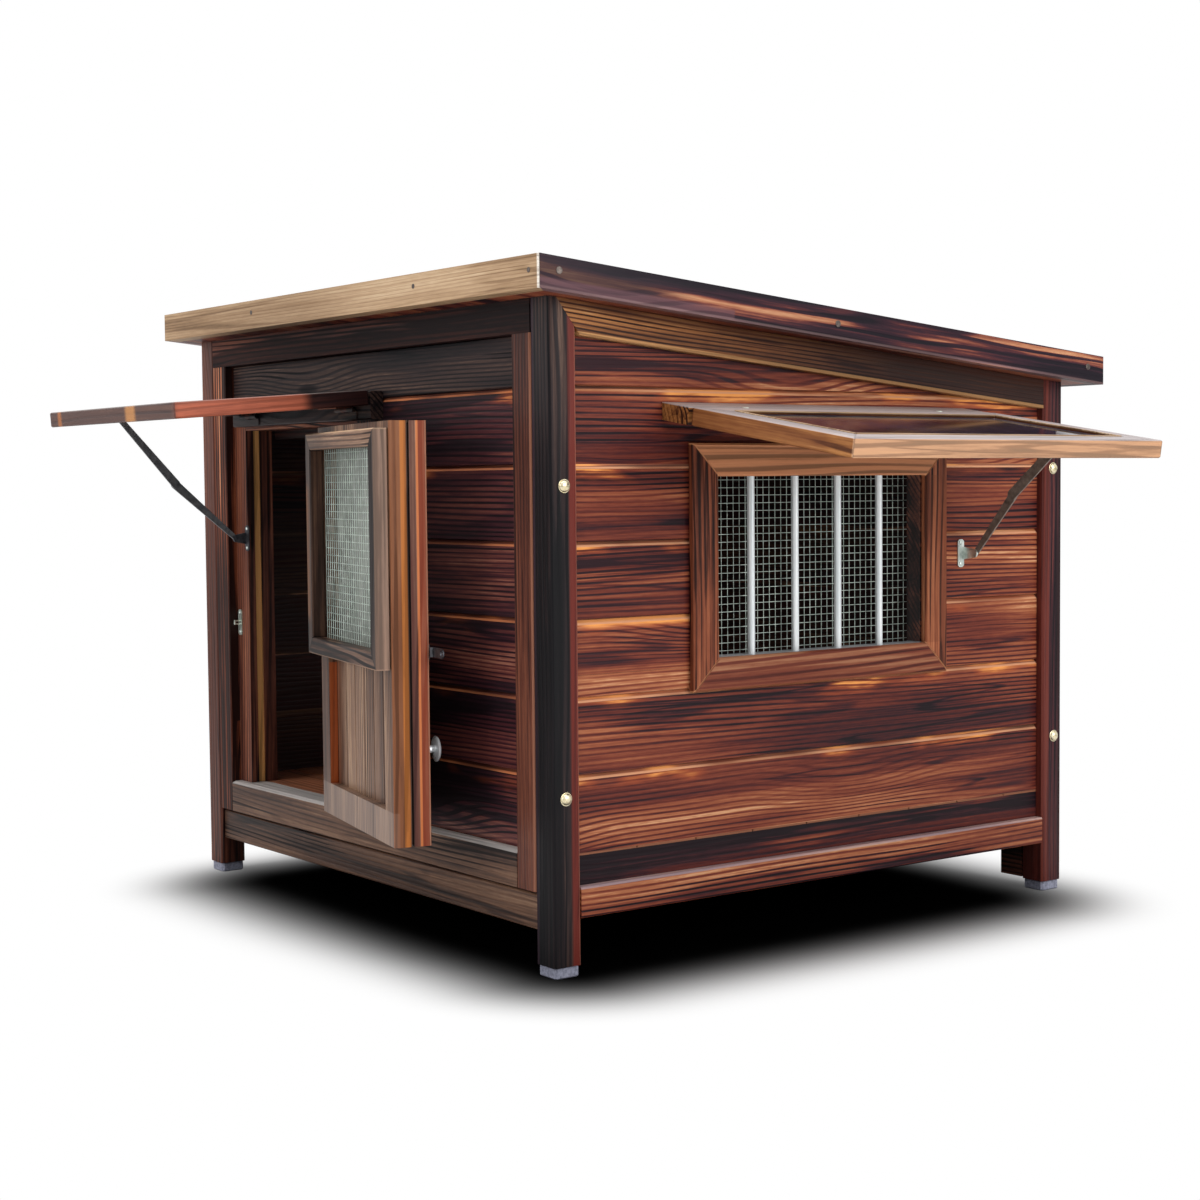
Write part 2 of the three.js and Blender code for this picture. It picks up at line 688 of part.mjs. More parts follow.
function makeWindow() {
  const y0 = WINDOW_CENTRE - WINDOW_WIDTH / 2;
  const y1 = WINDOW_CENTRE + WINDOW_WIDTH / 2;
  const [z0, z1] = [WINDOW_SILL, WINDOW_HEAD];
  const t = LINING_THICKNESS;
  const inner = rectangle(y0, y1, z0, z1);
  const w = TRIM_WIDTH;
  const trimRing = prism("x", rectangle(y0 - w, y1 + w, z0 - w, z1 + w), SIDE_FACE + GAP, HALF_WIDTH, {
    holes: [inner],
    bevel: 2.5,
  });
  const trim = cut(trimRing, ...mitreLines("x", y0 - w, y1 + w, z0 - w, z1 + w, w, HALF_WIDTH));
  const back = HALF_WIDTH - LINING_BACK;
  const lining = prism("x", rectangle(y0 - t, y1 + t, z0 - t, z1 + t), back, SIDE_FACE, { holes: [inner] });
  const bars = [];
  for (let i = 0; i < BAR_COUNT; i++) {
    const y = WINDOW_CENTRE + (i - (BAR_COUNT - 1) / 2) * BAR_PITCH;
    bars.push(rod("z", HALF_WIDTH - BAR_RECESS, y, BAR_RADIUS, z0 - t / 2, z1 + t / 2));
  }
  const lap = 6;
  const meshDepth = back - GAP - WIRE * 1.8;
  const mesh = weldedMesh("x", y0 - lap, y1 + lap, z0 - lap, z1 + lap, meshDepth, WINDOW_MESH_GAPS);
  return [
    piece("window_trim", trim, goldWood),
    piece("window_bars", join(lining, ...bars), zinc),
    piece("window_mesh", mesh, zinc),
  ];
}

// ---------------------------------------------------------------- hinges

// A butt hinge drawn in the plane square to its pin, with the pin at the origin and along Y.
// The fixed half has the two outer knuckles and the pin, and the moving half the middle one.
function hingeHalf(fixed, centre, leafOutline, tongueOutline) {
  const half = HINGE_LENGTH / 2;
  const third = HINGE_LENGTH / 6;
  const spans = fixed
    ? [
        [-half, -third - KNUCKLE_GAP / 2],
        [third + KNUCKLE_GAP / 2, half],
      ]
    : [[-third + KNUCKLE_GAP / 2, third - KNUCKLE_GAP / 2]];
  const parts = [prism("y", leafOutline, centre - half, centre + half)];
  for (const [low, high] of spans) {
    const knuckle = rod("y", 0, 0, KNUCKLE_RADIUS, centre + low, centre + high);
    const bore = rod("y", 0, 0, PIN_RADIUS + PIN_CLEARANCE, centre + low - 1, centre + high + 1);
    parts.push(fixed ? knuckle : cut(knuckle, bore));
    parts.push(prism("y", tongueOutline, centre + low, centre + high));
  }
  if (fixed) parts.push(rod("y", 0, 0, PIN_RADIUS, centre - half, centre + half));
  return join(...parts);
}

const LEAF_START = KNUCKLE_RADIUS + 0.7; // a hinge leaf starts clear of the other half's knuckle

// ---------------------------------------------------------------- flaps

// In a flap's own frame the pin lies on Y through the origin, +X points away from the wall
// and +Z up. The frame is turned to the wall and set at the pin afterwards.

function flapLayout(flap) {
  const span = flap.right - flap.left;
  const tilt = THREE.MathUtils.degToRad(flap.tilt);
  return { span, tilt, low: HINGE_DROP, high: HINGE_DROP + flap.thickness, start: flap.sashGap };
}

const tilted = (x, z, tilt) => [
  x * Math.cos(tilt) + z * Math.sin(tilt),
  z * Math.cos(tilt) - x * Math.sin(tilt),
];

// Where the two links of a stay meet, on the chosen side of the line between their pivots.
function elbow(from, to, lower, upper, fold) {
  const [dx, dz] = [to[0] - from[0], to[1] - from[1]];
  const distance = Math.hypot(dx, dz);
  const along = (lower ** 2 - upper ** 2 + distance ** 2) / (2 * distance);
  const aside = fold * Math.sqrt(lower ** 2 - along ** 2);
  return [
    from[0] + (along * dx - aside * dz) / distance,
    from[1] + (along * dz + aside * dx) / distance,
  ];
}

function makeSash(flap) {
  const { span, low, high, start } = flapLayout(flap);
  const end = start + flap.reach;
  const half = span / 2;
  const rail = flap.rail;
  const lip = GLAZING_LIP;
  const opening = rectangle(start + rail, end - rail, -half + rail, half - rail);
  const ring = prism("z", rectangle(start, end, -half, half), low, high, { holes: [opening], bevel: 1.5 });
  const seat = high - PANE_THICKNESS - 3;
  const rebate = box(
    start + rail - lip,
    end - rail + lip,
    -half + rail - lip,
    half - rail + lip,
    seat,
    high + 1,
  );
  const plateEnd = LEAF_START + HINGE_LEAF_WIDTH;
  const plate = rectangle(Math.max(LEAF_START, start), plateEnd, low - HINGE_PLATE, low + 0.5);
  const tongue = rectangle(0, LEAF_START + 1, low - HINGE_PLATE, low - HINGE_PLATE + 1.2);
  const hinges = [-1, 1].map((side) => hingeHalf(false, side * (half - flap.hingeInset), plate, tongue));
  const { side, along } = flap.stay;
  const pinEnds = [side * (half - 4), side * (half + STAY_PLANE_GAP + STAY_THICKNESS)].sort((a, b) => a - b);
  const stayPin = rod("y", along, (low + high) / 2, STAY_PIN_RADIUS, ...pinEnds);
  const frame = join(cut(ring, rebate), ...hinges, stayPin);
  const fit = GAP;
  const pane = box(
    start + rail - lip + fit,
    end - rail + lip - fit,
    -half + rail - lip + fit,
    half - rail + lip - fit,
    seat + fit,
    seat + fit + PANE_THICKNESS,
  );
  return [piece(flap.name + "_frame", frame, goldWood), piece(flap.name + "_pane", pane, clearPane)];
}

// The door's flap hangs from a batten that stands upright on the header board.
function uprightBatten(flap) {
  const { span } = flapLayout(flap);
  const face = -LEAF_START - GAP;
  const wall = -flap.pinStandOff;
  const section = chamfered(wall, face, -14, 24, EDGE_CHAMFER);
  const plate = rectangle(face - 0.5, face + HINGE_PLATE, -13, -LEAF_START);
  const tongue = rectangle(face - 0.5, face + HINGE_PLATE, -LEAF_START - 1, 0);
  const hinges = [-1, 1].map((side) => hingeHalf(true, side * (span / 2 - flap.hingeInset), plate, tongue));
  const batten = prism("y", section, -span / 2, span / 2);
  return { mesh: piece(flap.name + "_batten", join(batten, ...hinges), charredWood), tilt: 0 };
}

// The window's flap hangs from a batten laid flat, at the slope of the open sash.
function flatBatten(flap) {
  const { span, tilt, low } = flapLayout(flap);
  const face = -LEAF_START - 1;
  const top = low + flap.battenThickness;
  const atWall = (z) => (-flap.pinStandOff + GAP - z * Math.sin(tilt)) / Math.cos(tilt);
  const section = [
    [atWall(low), low],
    [face, low],
    [face, top],
    [atWall(top), top],
  ];
  const plate = rectangle(-LEAF_START - HINGE_LEAF_WIDTH, -LEAF_START, low - HINGE_PLATE, low + 0.5);
  const tongue = rectangle(-LEAF_START - 1, 0, low - HINGE_PLATE, low - HINGE_PLATE + 1.2);
  const hinges = [-1, 1].map((side) => hingeHalf(true, side * (span / 2 - flap.hingeInset), plate, tongue));
  const batten = prism("y", section, -span / 2, span / 2);
  return { mesh: piece(flap.name + "_batten", join(batten, ...hinges), goldWood), tilt };
}

// A flat steel link along +X, round at both ends, from a pivot at the origin to the elbow. Its
// width changes evenly. The link that carries the rivet head shows it on the given side.
function link(length, startWidth, elbowWidth, headSide) {
  const outline = [
    ...arc(0, 0, startWidth / 2, Math.PI / 2, (3 * Math.PI) / 2, 8),
    ...arc(length, 0, elbowWidth / 2, -Math.PI / 2, Math.PI / 2, 8),
  ];
  const half = STAY_THICKNESS / 2;
  const pinHole = circle(0, 0, STAY_PIN_RADIUS + PIN_CLEARANCE);
  const bar = prism("y", outline, -half, half, { holes: [pinHole] });
  if (!headSide) return bar;
  const ends = [headSide * (half - 0.5), headSide * (half + 1.5)].sort((a, b) => a - b);
  return join(bar, rod("y", length, 0, RIVET_RADIUS, ...ends));
}

// A folding stay beside the flap: a bracket on the wall, a lower link, and an upper link on
// the sash. Each link lies in its own plane.
function makeStay(flap) {
  const { span, tilt, low, high } = flapLayout(flap);
  const { side, pivotOut, pivotDrop, along, lower, upper, fold, widths } = flap.stay;
  const wall = -flap.pinStandOff + GAP;
  const pivot = [wall + pivotOut, -pivotDrop];
  const sashPivot = tilted(along, (low + high) / 2, tilt);
  const joint = elbow(pivot, sashPivot, lower, upper, fold);
  const edge = (span / 2) * side;
  const upperPlane = edge + side * (STAY_PLANE_GAP + STAY_THICKNESS / 2);
  const lowerPlane = upperPlane + side * (STAY_PLANE_GAP + STAY_THICKNESS);
  const lowerMesh = piece(flap.name + "_stay_lower", link(lower, widths[0], widths[1], side), steel);
  lowerMesh.position.set(pivot[0], lowerPlane, pivot[1]);
  lowerMesh.rotation.y = -Math.atan2(joint[1] - pivot[1], joint[0] - pivot[0]);
  const upperMesh = piece(flap.name + "_stay_upper", link(upper, widths[3], widths[2], 0), steel);
  upperMesh.position.set(along, upperPlane, (low + high) / 2);
  upperMesh.rotation.y = -Math.atan2(joint[1] - sashPivot[1], joint[0] - sashPivot[0]) - tilt;
  return { bracket: makeStayBracket(flap, wall, pivot, lowerPlane, side), lowerMesh, upperMesh };
}

// A screwed plate with an upright ear, and the pin that the lower link turns on.
function makeStayBracket(flap, wall, [px, pz], lowerPlane, side) {
  const between = (a, b) => [Math.min(a, b), Math.max(a, b)];
  const earFace = lowerPlane - side * (STAY_THICKNESS / 2 + STAY_PLANE_GAP);
  const ear = between(earFace, earFace - side * STAY_THICKNESS);
  const plate = between(earFace, earFace - side * BRACKET_WIDTH);
  const radius = 6;
  const earOutline = [
    [wall, pz - 9],
    ...arc(px, pz, radius, -Math.PI / 2, Math.PI / 2, 8),
    [wall, pz + 9],
  ];
  const half = BRACKET_LENGTH / 2;
  const plateOutline = chamfered(...plate, pz - half, pz + half, 3);
  const pin = between(earFace - side, lowerPlane + side * (STAY_THICKNESS / 2 + 1));
  const geometry = join(
    prism("x", plateOutline, wall, wall + HINGE_PLATE),
    prism("y", earOutline, ...ear),
    rod("y", px, pz, STAY_PIN_RADIUS, ...pin),
  );
  return piece(flap.name + "_stay_bracket", geometry, zinc);
}

function makeFlap(flap, batten) {
  const { tilt } = flapLayout(flap);
  const stay = makeStay(flap);
  const sash = group(...makeSash(flap), stay.upperMesh);
  sash.rotation.y = tilt;
  const support = group(batten.mesh);
  support.rotation.y = batten.tilt;
  return group(sash, support, stay.bracket, stay.lowerMesh);
}

function makeFlaps() {
  const overWindow = makeFlap(SIDE_FLAP, flatBatten(SIDE_FLAP));
  overWindow.position.set(
    SIDE_FACE + SIDE_FLAP.pinStandOff,
    (SIDE_FLAP.left + SIDE_FLAP.right) / 2,
    SIDE_FLAP.pinHeight,
  );
  const overDoor = makeFlap(FRONT_FLAP, uprightBatten(FRONT_FLAP));
  overDoor.position.set(
    (FRONT_FLAP.left + FRONT_FLAP.right) / 2,
    FRONT_FACE - GAP - FRONT_FLAP.pinStandOff,
    FRONT_FLAP.pinHeight,
  );
  overDoor.rotation.z = -Math.PI / 2;
  return [overWindow, overDoor];
}

// ---------------------------------------------------------------- door

// In the door's own frame the pin stands on Z through the origin. The closed leaf runs along
// -X, with its outer face towards -Y.
const PIN_TO_FACE = KNUCKLE_RADIUS + 1;
const LEAF_OUTER = PIN_TO_FACE - 0.2;
const LEAF_INNER = LEAF_OUTER + LEAF_THICKNESS;
const LEAF_REACH = Math.sqrt((DOORWAY_WIDTH - LEAF_SWEEP_CLEARANCE) ** 2 - LEAF_INNER ** 2);
const HINGE_LEVELS = [LEAF_BOTTOM + 75, LEAF_TOP - 75];
const toPinOnZ = (geometry) => geometry.rotateX(Math.PI / 2);

function makeDoorHinges() {
  // The fixed leaves lie on the front of the jamb.
  const low = -PIN_TO_FACE + GAP;
  const plate = rectangle(LEAF_START, LEAF_START + HINGE_LEAF_WIDTH, low, low + HINGE_PLATE);
  const tongue = rectangle(0, LEAF_START + 1, low, low + HINGE_PLATE);
  return HINGE_LEVELS.map((level, i) => {
    const half = toPinOnZ(hingeHalf(true, level, plate, tongue));
    return piece(["door_hinge_lower", "door_hinge_upper"][i], half, steel);
  });
}

function makeLeaf() {
  const [x0, x1] = [-LEAF_REACH, -LEAF_HINGE_GAP];
  const [y0, y1] = [LEAF_OUTER, LEAF_INNER];
  const middle = (y0 + y1) / 2;
  const section = chamfered(x0, x1, y0, y1, EDGE_CHAMFER);
  const stock = prism("z", section, LEAF_BOTTOM, LEAF_TOP);
  const screen = screenOutline();
  const window = (grow) => [
    screen.x0 + SCREEN_MEMBER - grow,
    screen.x1 - SCREEN_MEMBER + grow,
  ];
  const heights = (grow) => [
    SCREEN_BOTTOM + SCREEN_MEMBER - grow,
    SCREEN_TOP - SCREEN_MEMBER + grow,
  ];
  const outerLayer = box(...window(0), y0 - 1, middle + 1, ...heights(0));
  const innerLayer = box(...window(GLAZING_LIP), middle, y1 + 1, ...heights(GLAZING_LIP));
  const panelX = [x0 + LEAF_STILE, x1 - LEAF_STILE];
  const panelZ = [LEAF_BOTTOM + LEAF_BOTTOM_RAIL, SCREEN_BOTTOM - GAP];
  const tools = [
    outerLayer,
    innerLayer,
    box(...panelX, y1 - PANEL_RECESS, y1 + 1, ...panelZ),
    box(...panelX, y0 - 1, y0 + PANEL_RECESS, ...panelZ),
  ];
  for (let i = 1; i <= PANEL_GROOVES; i++) {
    const x = panelX[0] + ((panelX[1] - panelX[0]) * i) / (PANEL_GROOVES + 1);
    for (const [face, inwards] of [
      [y1 - PANEL_RECESS, -1],
      [y0 + PANEL_RECESS, 1],
    ]) {
      const vee = [
        [x - 2, face - inwards],
        [x + 2, face - inwards],
        [x, face + inwards * PANEL_GROOVE_DEPTH],
      ];
      tools.push(prism("z", vee, panelZ[0], panelZ[1] - 1));
    }
  }
  // The leaf is two layers, with a dark line between them round its edge.
  const seam = [middle - 1, middle + 1];
  const depth = 3;
  tools.push(
    box(x0 - 1, x0 + depth, ...seam, 0, EAVE_HEIGHT),
    box(x1 - depth, x1 + 1, ...seam, 0, EAVE_HEIGHT),
    box(x0 - 1, x1 + 1, ...seam, LEAF_TOP - depth, EAVE_HEIGHT),
    box(x0 - 1, x1 + 1, ...seam, 0, LEAF_BOTTOM + depth),
  );
  // The moving hinge leaves are screwed to the outer face.
  const low = -LEAF_OUTER;
  const plate = rectangle(-LEAF_START - HINGE_LEAF_WIDTH, -LEAF_START, low - 0.5, low + HINGE_PLATE);
  const tongue = rectangle(-LEAF_START - 1, 0, low + HINGE_PLATE - 1.2, low + HINGE_PLATE);
  const hinges = HINGE_LEVELS.map((level) => toPinOnZ(hingeHalf(false, level, plate, tongue)));
  return join(cut(stock, ...tools), ...hinges);
}

function screenOutline() {
  return { x0: -LEAF_REACH + SCREEN_INSET, x1: -LEAF_HINGE_GAP - SCREEN_INSET };
}

function makeDoorFittings() {
  const { x0, x1 } = screenOutline();
  const m = SCREEN_MEMBER;
  const y0 = LEAF_INNER + GAP;
  const y1 = y0 + SCREEN_THICKNESS;
  const opening = rectangle(x0 + m, x1 - m, SCREEN_BOTTOM + m, SCREEN_TOP - m);
  const outline = rectangle(x0, x1, SCREEN_BOTTOM, SCREEN_TOP);
  const ring = prism("y", outline, y0, y1, { holes: [opening], bevel: 1.5 });
  const lip = GLAZING_LIP - GAP;
  const inX = [x0 + m - lip, x1 - m + lip];
  const inZ = [SCREEN_BOTTOM + m - lip, SCREEN_TOP - m + lip];
  const meshFace = LEAF_INNER - WIRE * 1.8;
  const mesh = weldedMesh("y", ...inX, ...inZ, meshFace, DOOR_MESH_GAPS);
  const paneFace = (LEAF_OUTER + LEAF_INNER) / 2 + GAP;
  return [
    piece("door_screen_frame", ring, charredWood),
    piece("door_mesh", mesh, zinc),
    piece("door_pane", box(...inX, paneFace, paneFace + PANE_THICKNESS, ...inZ), clearPane),
    makeKnob(),
  ];
}

// A turned knob: a domed rose against the leaf, a neck and a small head.
function makeKnob() {
  const rose = KNOB_ROSE_RADIUS;
  const neck = KNOB_NECK_RADIUS;
  const head = KNOB_RADIUS;
  const top = KNOB_HEIGHT;
  const profile = [
    [0, 0],
    [rose, 0],
    [rose, 1.5],
    [rose * 0.9, 3.6],
    [rose * 0.68, 5.4],
    [neck, 6.6],
    [neck, top - 12],
    [head - 1, top - 9.5],
    [head, top - 7.5],
    [head, top - 3],
    [head - 2, top - 0.8],
    [head - 4.5, top],
    [0, top],
  ];
  const points = profile.map(([r, z]) => new THREE.Vector2(r, z));
  const mesh = piece("door_knob", new THREE.LatheGeometry(points, 24).rotateX(Math.PI), chrome);
  mesh.position.set(-LEAF_REACH + KNOB_FROM_EDGE, LEAF_OUTER - GAP, KNOB_LEVEL);
  return mesh;
}

// The hasp: a plate with a knuckle at the free edge of the leaf, and a strap with an eye.
const HASP_KNUCKLE = 3;

function makeHasp() {
  const half = HASP_HEIGHT / 2;
  const third = HASP_HEIGHT / 6;
  const pin = 1.2;
  const plateY = HASP_KNUCKLE;
  const tube = (low, high) => rod("z", 0, 0, HASP_KNUCKLE, low, high);
  const tongue = (low, high) => box(0, 5, plateY - HINGE_PLATE, plateY + 0.2, low, high);
  const base = join(
    box(4, 20, plateY - HINGE_PLATE + 0.2, plateY + 0.2, -half - 3, half + 3),
    tongue(-half, -third - KNUCKLE_GAP / 2),
    tongue(third + KNUCKLE_GAP / 2, half),
    tube(-half, -third - KNUCKLE_GAP / 2),
    tube(third + KNUCKLE_GAP / 2, half),
    rod("z", 0, 0, pin, -half, half),
  );
  const strapOutline = [
    [-3.6, -half],
    ...arc(-HASP_REACH, 0, HASP_EYE, -Math.PI / 2, (-3 * Math.PI) / 2, 14),
    [-3.6, half],
  ];
  const strapFace = [-HASP_KNUCKLE, -HASP_KNUCKLE + 2];
  const tongueEnd = third - KNUCKLE_GAP;
  const strapTongue = box(-4.5, 0, -HASP_KNUCKLE, -HASP_KNUCKLE + 1.4, -tongueEnd, tongueEnd);
  const middle = cut(
    tube(-third + KNUCKLE_GAP / 2, third - KNUCKLE_GAP / 2),
    rod("z", 0, 0, pin + PIN_CLEARANCE, -half, half),
  );
  const strap = join(
    prism("y", strapOutline, ...strapFace, { holes: [circle(-HASP_REACH, 0, HASP_HOLE)] }),
    strapTongue,
    middle,
  );
  const meshes = [piece("hasp_base", base, zinc), piece("hasp_strap", strap, zinc)];
  const made = group(...meshes);
  made.position.set(-LEAF_REACH - 0.5, LEAF_OUTER - HASP_KNUCKLE - 0.2 - GAP, HASP_LEVEL);
  return made;
}

// The staple plate on the jamb, which stands through the eye of the strap.
function makeKeeper() {
  const x = DOORWAY_LEFT - KEEPER_FROM_DOORWAY;
  const face = FRONT_FACE - GAP;
  const half = BRACKET_LENGTH / 2;
  const w = BRACKET_WIDTH / 2;
  const plate = chamfered(x - w, x + w, HASP_LEVEL - half, HASP_LEVEL + half, 3);
  const rise = 11;
  const out = 3.5;
  const wire = 2;
  const loop = [
    [face, HASP_LEVEL - out],
    [face - rise, HASP_LEVEL - out],
    [face - rise, HASP_LEVEL + out],
    [face, HASP_LEVEL + out],
    [face, HASP_LEVEL + out - wire],
    [face - rise + wire, HASP_LEVEL + out - wire],
    [face - rise + wire, HASP_LEVEL - out + wire],
    [face, HASP_LEVEL - out + wire],
  ];
  const staple = prism("x", loop, x - wire / 2, x + wire / 2);
  return piece("hasp_keeper", join(prism("y", plate, face - HINGE_PLATE, face), staple), zinc);
}

function makeDoor() {
  const pin = [DOORWAY_RIGHT, FRONT_FACE - PIN_TO_FACE];
  const leaf = group(piece("door_leaf", makeLeaf(), charredWood), ...makeDoorFittings(), makeHasp());
  leaf.rotation.z = THREE.MathUtils.degToRad(DOOR_OPEN_DEGREES);
  const door = group(leaf, ...makeDoorHinges());
  door.position.set(...pin, 0);
  return [door, makeKeeper()];
}

// ---------------------------------------------------------------- the house

const corners = [
  ["front_left", -1, -1],
  ["front_right", 1, -1],
  ["back_left", -1, 1],
  ["back_right", 1, 1],
];

const cabin = group(
  ...corners.map(([where, x, y]) => makePost("post_" + where, x, y)),
  ...corners.map(([where, x, y]) => makeFoot("foot_" + where, x, y)),
  ...makeAprons(),
  makeFloor(),
  ...makeFrontFrame(),
  ...makeFrontWall(),
  ...makeWindowWall(),
  ...makePlainWalls(),
  ...makeRoof(),
  ...makeWindow(),
  ...makeFlaps(),
  ...makeDoor(),
);

// The origin is on the ground, under the middle of the house with its flaps and door open.
const bounds = new THREE.Box3().setFromObject(cabin, true);
const middle = bounds.getCenter(new THREE.Vector3());
cabin.position.set(-middle.x, -middle.y, 0);

export default group(cabin);
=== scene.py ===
# %% [markdown]
# # A slant-roofed dog house in scorched cedar
#
# The dog house is a small framed cabin on four posts, with a shed roof, a door that hangs on the
# right of its doorway and a barred window in the side wall. A glazed flap is propped open over each.
# The solids come ready made, so the work here is the finish: scorched, brushed and oiled cedar,
# zinc and steel fittings, fine wire nets, and the bolts, screws and nails that hold it together.
#
# Every size below is in metres. Z points up, X points to the window wall and -Y to the door wall.

# %% Load the solids of the house
import json
import math
import bpy
from mathutils import Matrix, Vector


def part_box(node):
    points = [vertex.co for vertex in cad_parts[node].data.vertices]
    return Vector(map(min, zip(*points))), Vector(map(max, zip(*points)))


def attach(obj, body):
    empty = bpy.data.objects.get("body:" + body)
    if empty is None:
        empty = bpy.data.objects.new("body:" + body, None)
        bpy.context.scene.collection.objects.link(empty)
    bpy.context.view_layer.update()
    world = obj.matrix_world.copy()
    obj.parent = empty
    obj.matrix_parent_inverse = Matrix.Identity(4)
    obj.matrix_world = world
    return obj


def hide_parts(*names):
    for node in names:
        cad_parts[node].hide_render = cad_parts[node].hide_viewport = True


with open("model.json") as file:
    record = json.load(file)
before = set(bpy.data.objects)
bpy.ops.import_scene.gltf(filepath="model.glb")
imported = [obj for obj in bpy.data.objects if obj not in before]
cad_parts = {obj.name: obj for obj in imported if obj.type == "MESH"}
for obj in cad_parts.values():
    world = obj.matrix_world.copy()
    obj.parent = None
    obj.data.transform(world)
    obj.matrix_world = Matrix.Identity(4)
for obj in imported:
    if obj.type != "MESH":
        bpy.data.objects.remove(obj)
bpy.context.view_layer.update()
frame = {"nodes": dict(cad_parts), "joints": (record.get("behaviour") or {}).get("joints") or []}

nodes = frame["nodes"]

# %% [markdown]
# ## The middle of the cabin
#
# The flaps stick out on two sides, so the cabin isn't centred on the origin. Its posts tell where it is.
# The camera, the bolts and the shadow are all placed from there.

# %% Find the middle of the cabin
left_post_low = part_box("post_front_left")[0]
right_post_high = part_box("post_back_right")[1]
middle_x = (left_post_low.x + right_post_high.x) / 2
middle_y = (left_post_low.y + right_post_high.y) / 2
cabin_middle = Vector((middle_x, middle_y, 0))
print("The cabin's middle stands at", tuple(round(v, 4) for v in cabin_middle))

# %% [markdown]
# ## The camera
#
# The picture is taken from the height of the window's top, off the near corner, with a fairly long lens.
# The three directions below are the camera's own right, up and forward. Together they make its turn,
# which is more exact than turning the camera by three angles.

# %% Set up the camera
forward = Vector((-0.8031, 0.5932, -0.0564)).normalized()
right = Vector((0.5946, 0.8040, -0.0090))
up = right.cross(forward).normalized()
right = forward.cross(up)
turn = Matrix((right, up, -forward)).transposed()
camera_place = cabin_middle + Vector((2.4831, -1.8697, 0.6))
bpy.ops.object.camera_add(location=camera_place, rotation=turn.to_euler())
camera = bpy.context.object
camera.name = "camera"
camera.data.sensor_width = 36
camera.data.lens = 61.76
bpy.context.scene.camera = camera
print("The camera looks along", tuple(round(v, 3) for v in forward))

# %% [markdown]
# ## Tools for shader trees
#
# A material is a tree of nodes. A tree could be drawn by hand in the shader editor, but one that is
# written down can be used again for every material here. These few functions keep each tree short to
# write: `add` adds a node and plugs its inputs, and the others add the kinds that come up most.


# %% Write the helpers that add one node
def add(tree, kind, inputs=None, **settings):
    node = tree.nodes.new(kind)
    for key, value in settings.items():
        setattr(node, key, value)
    for key, value in (inputs or {}).items():
        if isinstance(value, bpy.types.NodeSocket):
            tree.links.new(value, node.inputs[key])
        else:
            node.inputs[key].default_value = value
    return node


def calculate(tree, operation, a, b=0.0, c=0.0, clamp=False):
    node = add(tree, "ShaderNodeMath", {0: a, 1: b, 2: c}, operation=operation, use_clamp=clamp)
    return node.outputs[0]


def blend(tree, share, a, b):
    return add(tree, "ShaderNodeMix", {0: share, 6: a, 7: b}, data_type="RGBA").outputs[2]


def ramp(tree, value, stops):
    node = add(tree, "ShaderNodeValToRGB", {0: value})
    points = node.color_ramp.elements
    while len(points) < len(stops):
        points.new(0.5)
    for point, (place, colour) in zip(points, stops):
        point.position = place
        point.color = colour
    return node.outputs[0]


def remap(tree, value, low, high, new_low=0.0, new_high=1.0):
    inputs = {0: value, 1: low, 2: high, 3: new_low, 4: new_high}
    return add(tree, "ShaderNodeMapRange", inputs, interpolation_type="SMOOTHSTEP").outputs[0]


def noise(tree, vector, scale, detail=2.0, roughness=0.5, distortion=0.0):
    inputs = {
        "Vector": vector,
        "Scale": scale,
        "Detail": detail,
        "Roughness": roughness,
        "Distortion": distortion,
    }
    return add(tree, "ShaderNodeTexNoise", inputs).outputs[0]


print("Helpers for sums, colours and noise are ready.")

# %% [markdown]
# ## Tools for positions
#
# A pattern needs to know where on the piece it is. Object coordinates give that place in metres, and they
# stay with the piece when it moves. These helpers read the place, stretch it and take it apart.


# %% Write the helpers for positions
def place_on(tree):
    return add(tree, "ShaderNodeTexCoord").outputs["Object"]


def stretch(tree, vector, scale, shift=(0, 0, 0)):
    return add(tree, "ShaderNodeMapping", {0: vector, 1: shift, 3: scale}).outputs[0]


def split(tree, vector):
    return add(tree, "ShaderNodeSeparateXYZ", {0: vector}).outputs


def gather(tree, x, y, z=0.0):
    return add(tree, "ShaderNodeCombineXYZ", {0: x, 1: y, 2: z}).outputs[0]


def combine(tree, operation, a, b=(0, 0, 0)):
    # One sum for all three parts of a position.
    return add(tree, "ShaderNodeVectorMath", {0: a, 1: b}, operation=operation).outputs[0]


def length(tree, vector):
    return add(tree, "ShaderNodeVectorMath", {0: vector}, operation="LENGTH").outputs["Value"]


def choose(tree, share, a, b):
    return add(tree, "ShaderNodeMix", {0: share, 4: a, 5: b}, data_type="VECTOR").outputs[1]


def reorder(tree, vector, axes):
    parts = split(tree, vector)
    return gather(tree, *(parts["xyz".index(axis)] for axis in axes))


def band(tree, vector, axis, low, high, soft=0.0004):
    # One between two positions along an axis, and zero outside them.
    value = split(tree, vector)["xyz".index(axis)]
    rise = remap(tree, value, low - soft, low + soft)
    return calculate(tree, "MULTIPLY", rise, remap(tree, value, high - soft, high + soft, 1.0, 0.0))


print("Helpers for positions are ready.")

# %% [markdown]
# ## Tools for materials and groups
#
# A group is a tree of its own with named inputs and outputs, so one pattern can serve many materials.
# Colours are written as they look on a screen, from 0 to 255, and turned into the light a shader needs.


# %% Write the helpers for materials and groups
def rgb(red, green, blue):
    def light(level):
        level /= 255
        return level / 12.92 if level <= 0.04045 else ((level + 0.055) / 1.055) ** 2.4

    return (light(red), light(green), light(blue), 1.0)


def new_material(name):
    material = bpy.data.materials.new(name)
    material.use_nodes = True
    return material, material.node_tree, material.node_tree.nodes["Principled BSDF"]


def raise_relief(tree, shader, height, strength, distance):
    inputs = {"Strength": strength, "Distance": distance, "Height": height}
    tree.links.new(add(tree, "ShaderNodeBump", inputs).outputs[0], shader.inputs["Normal"])


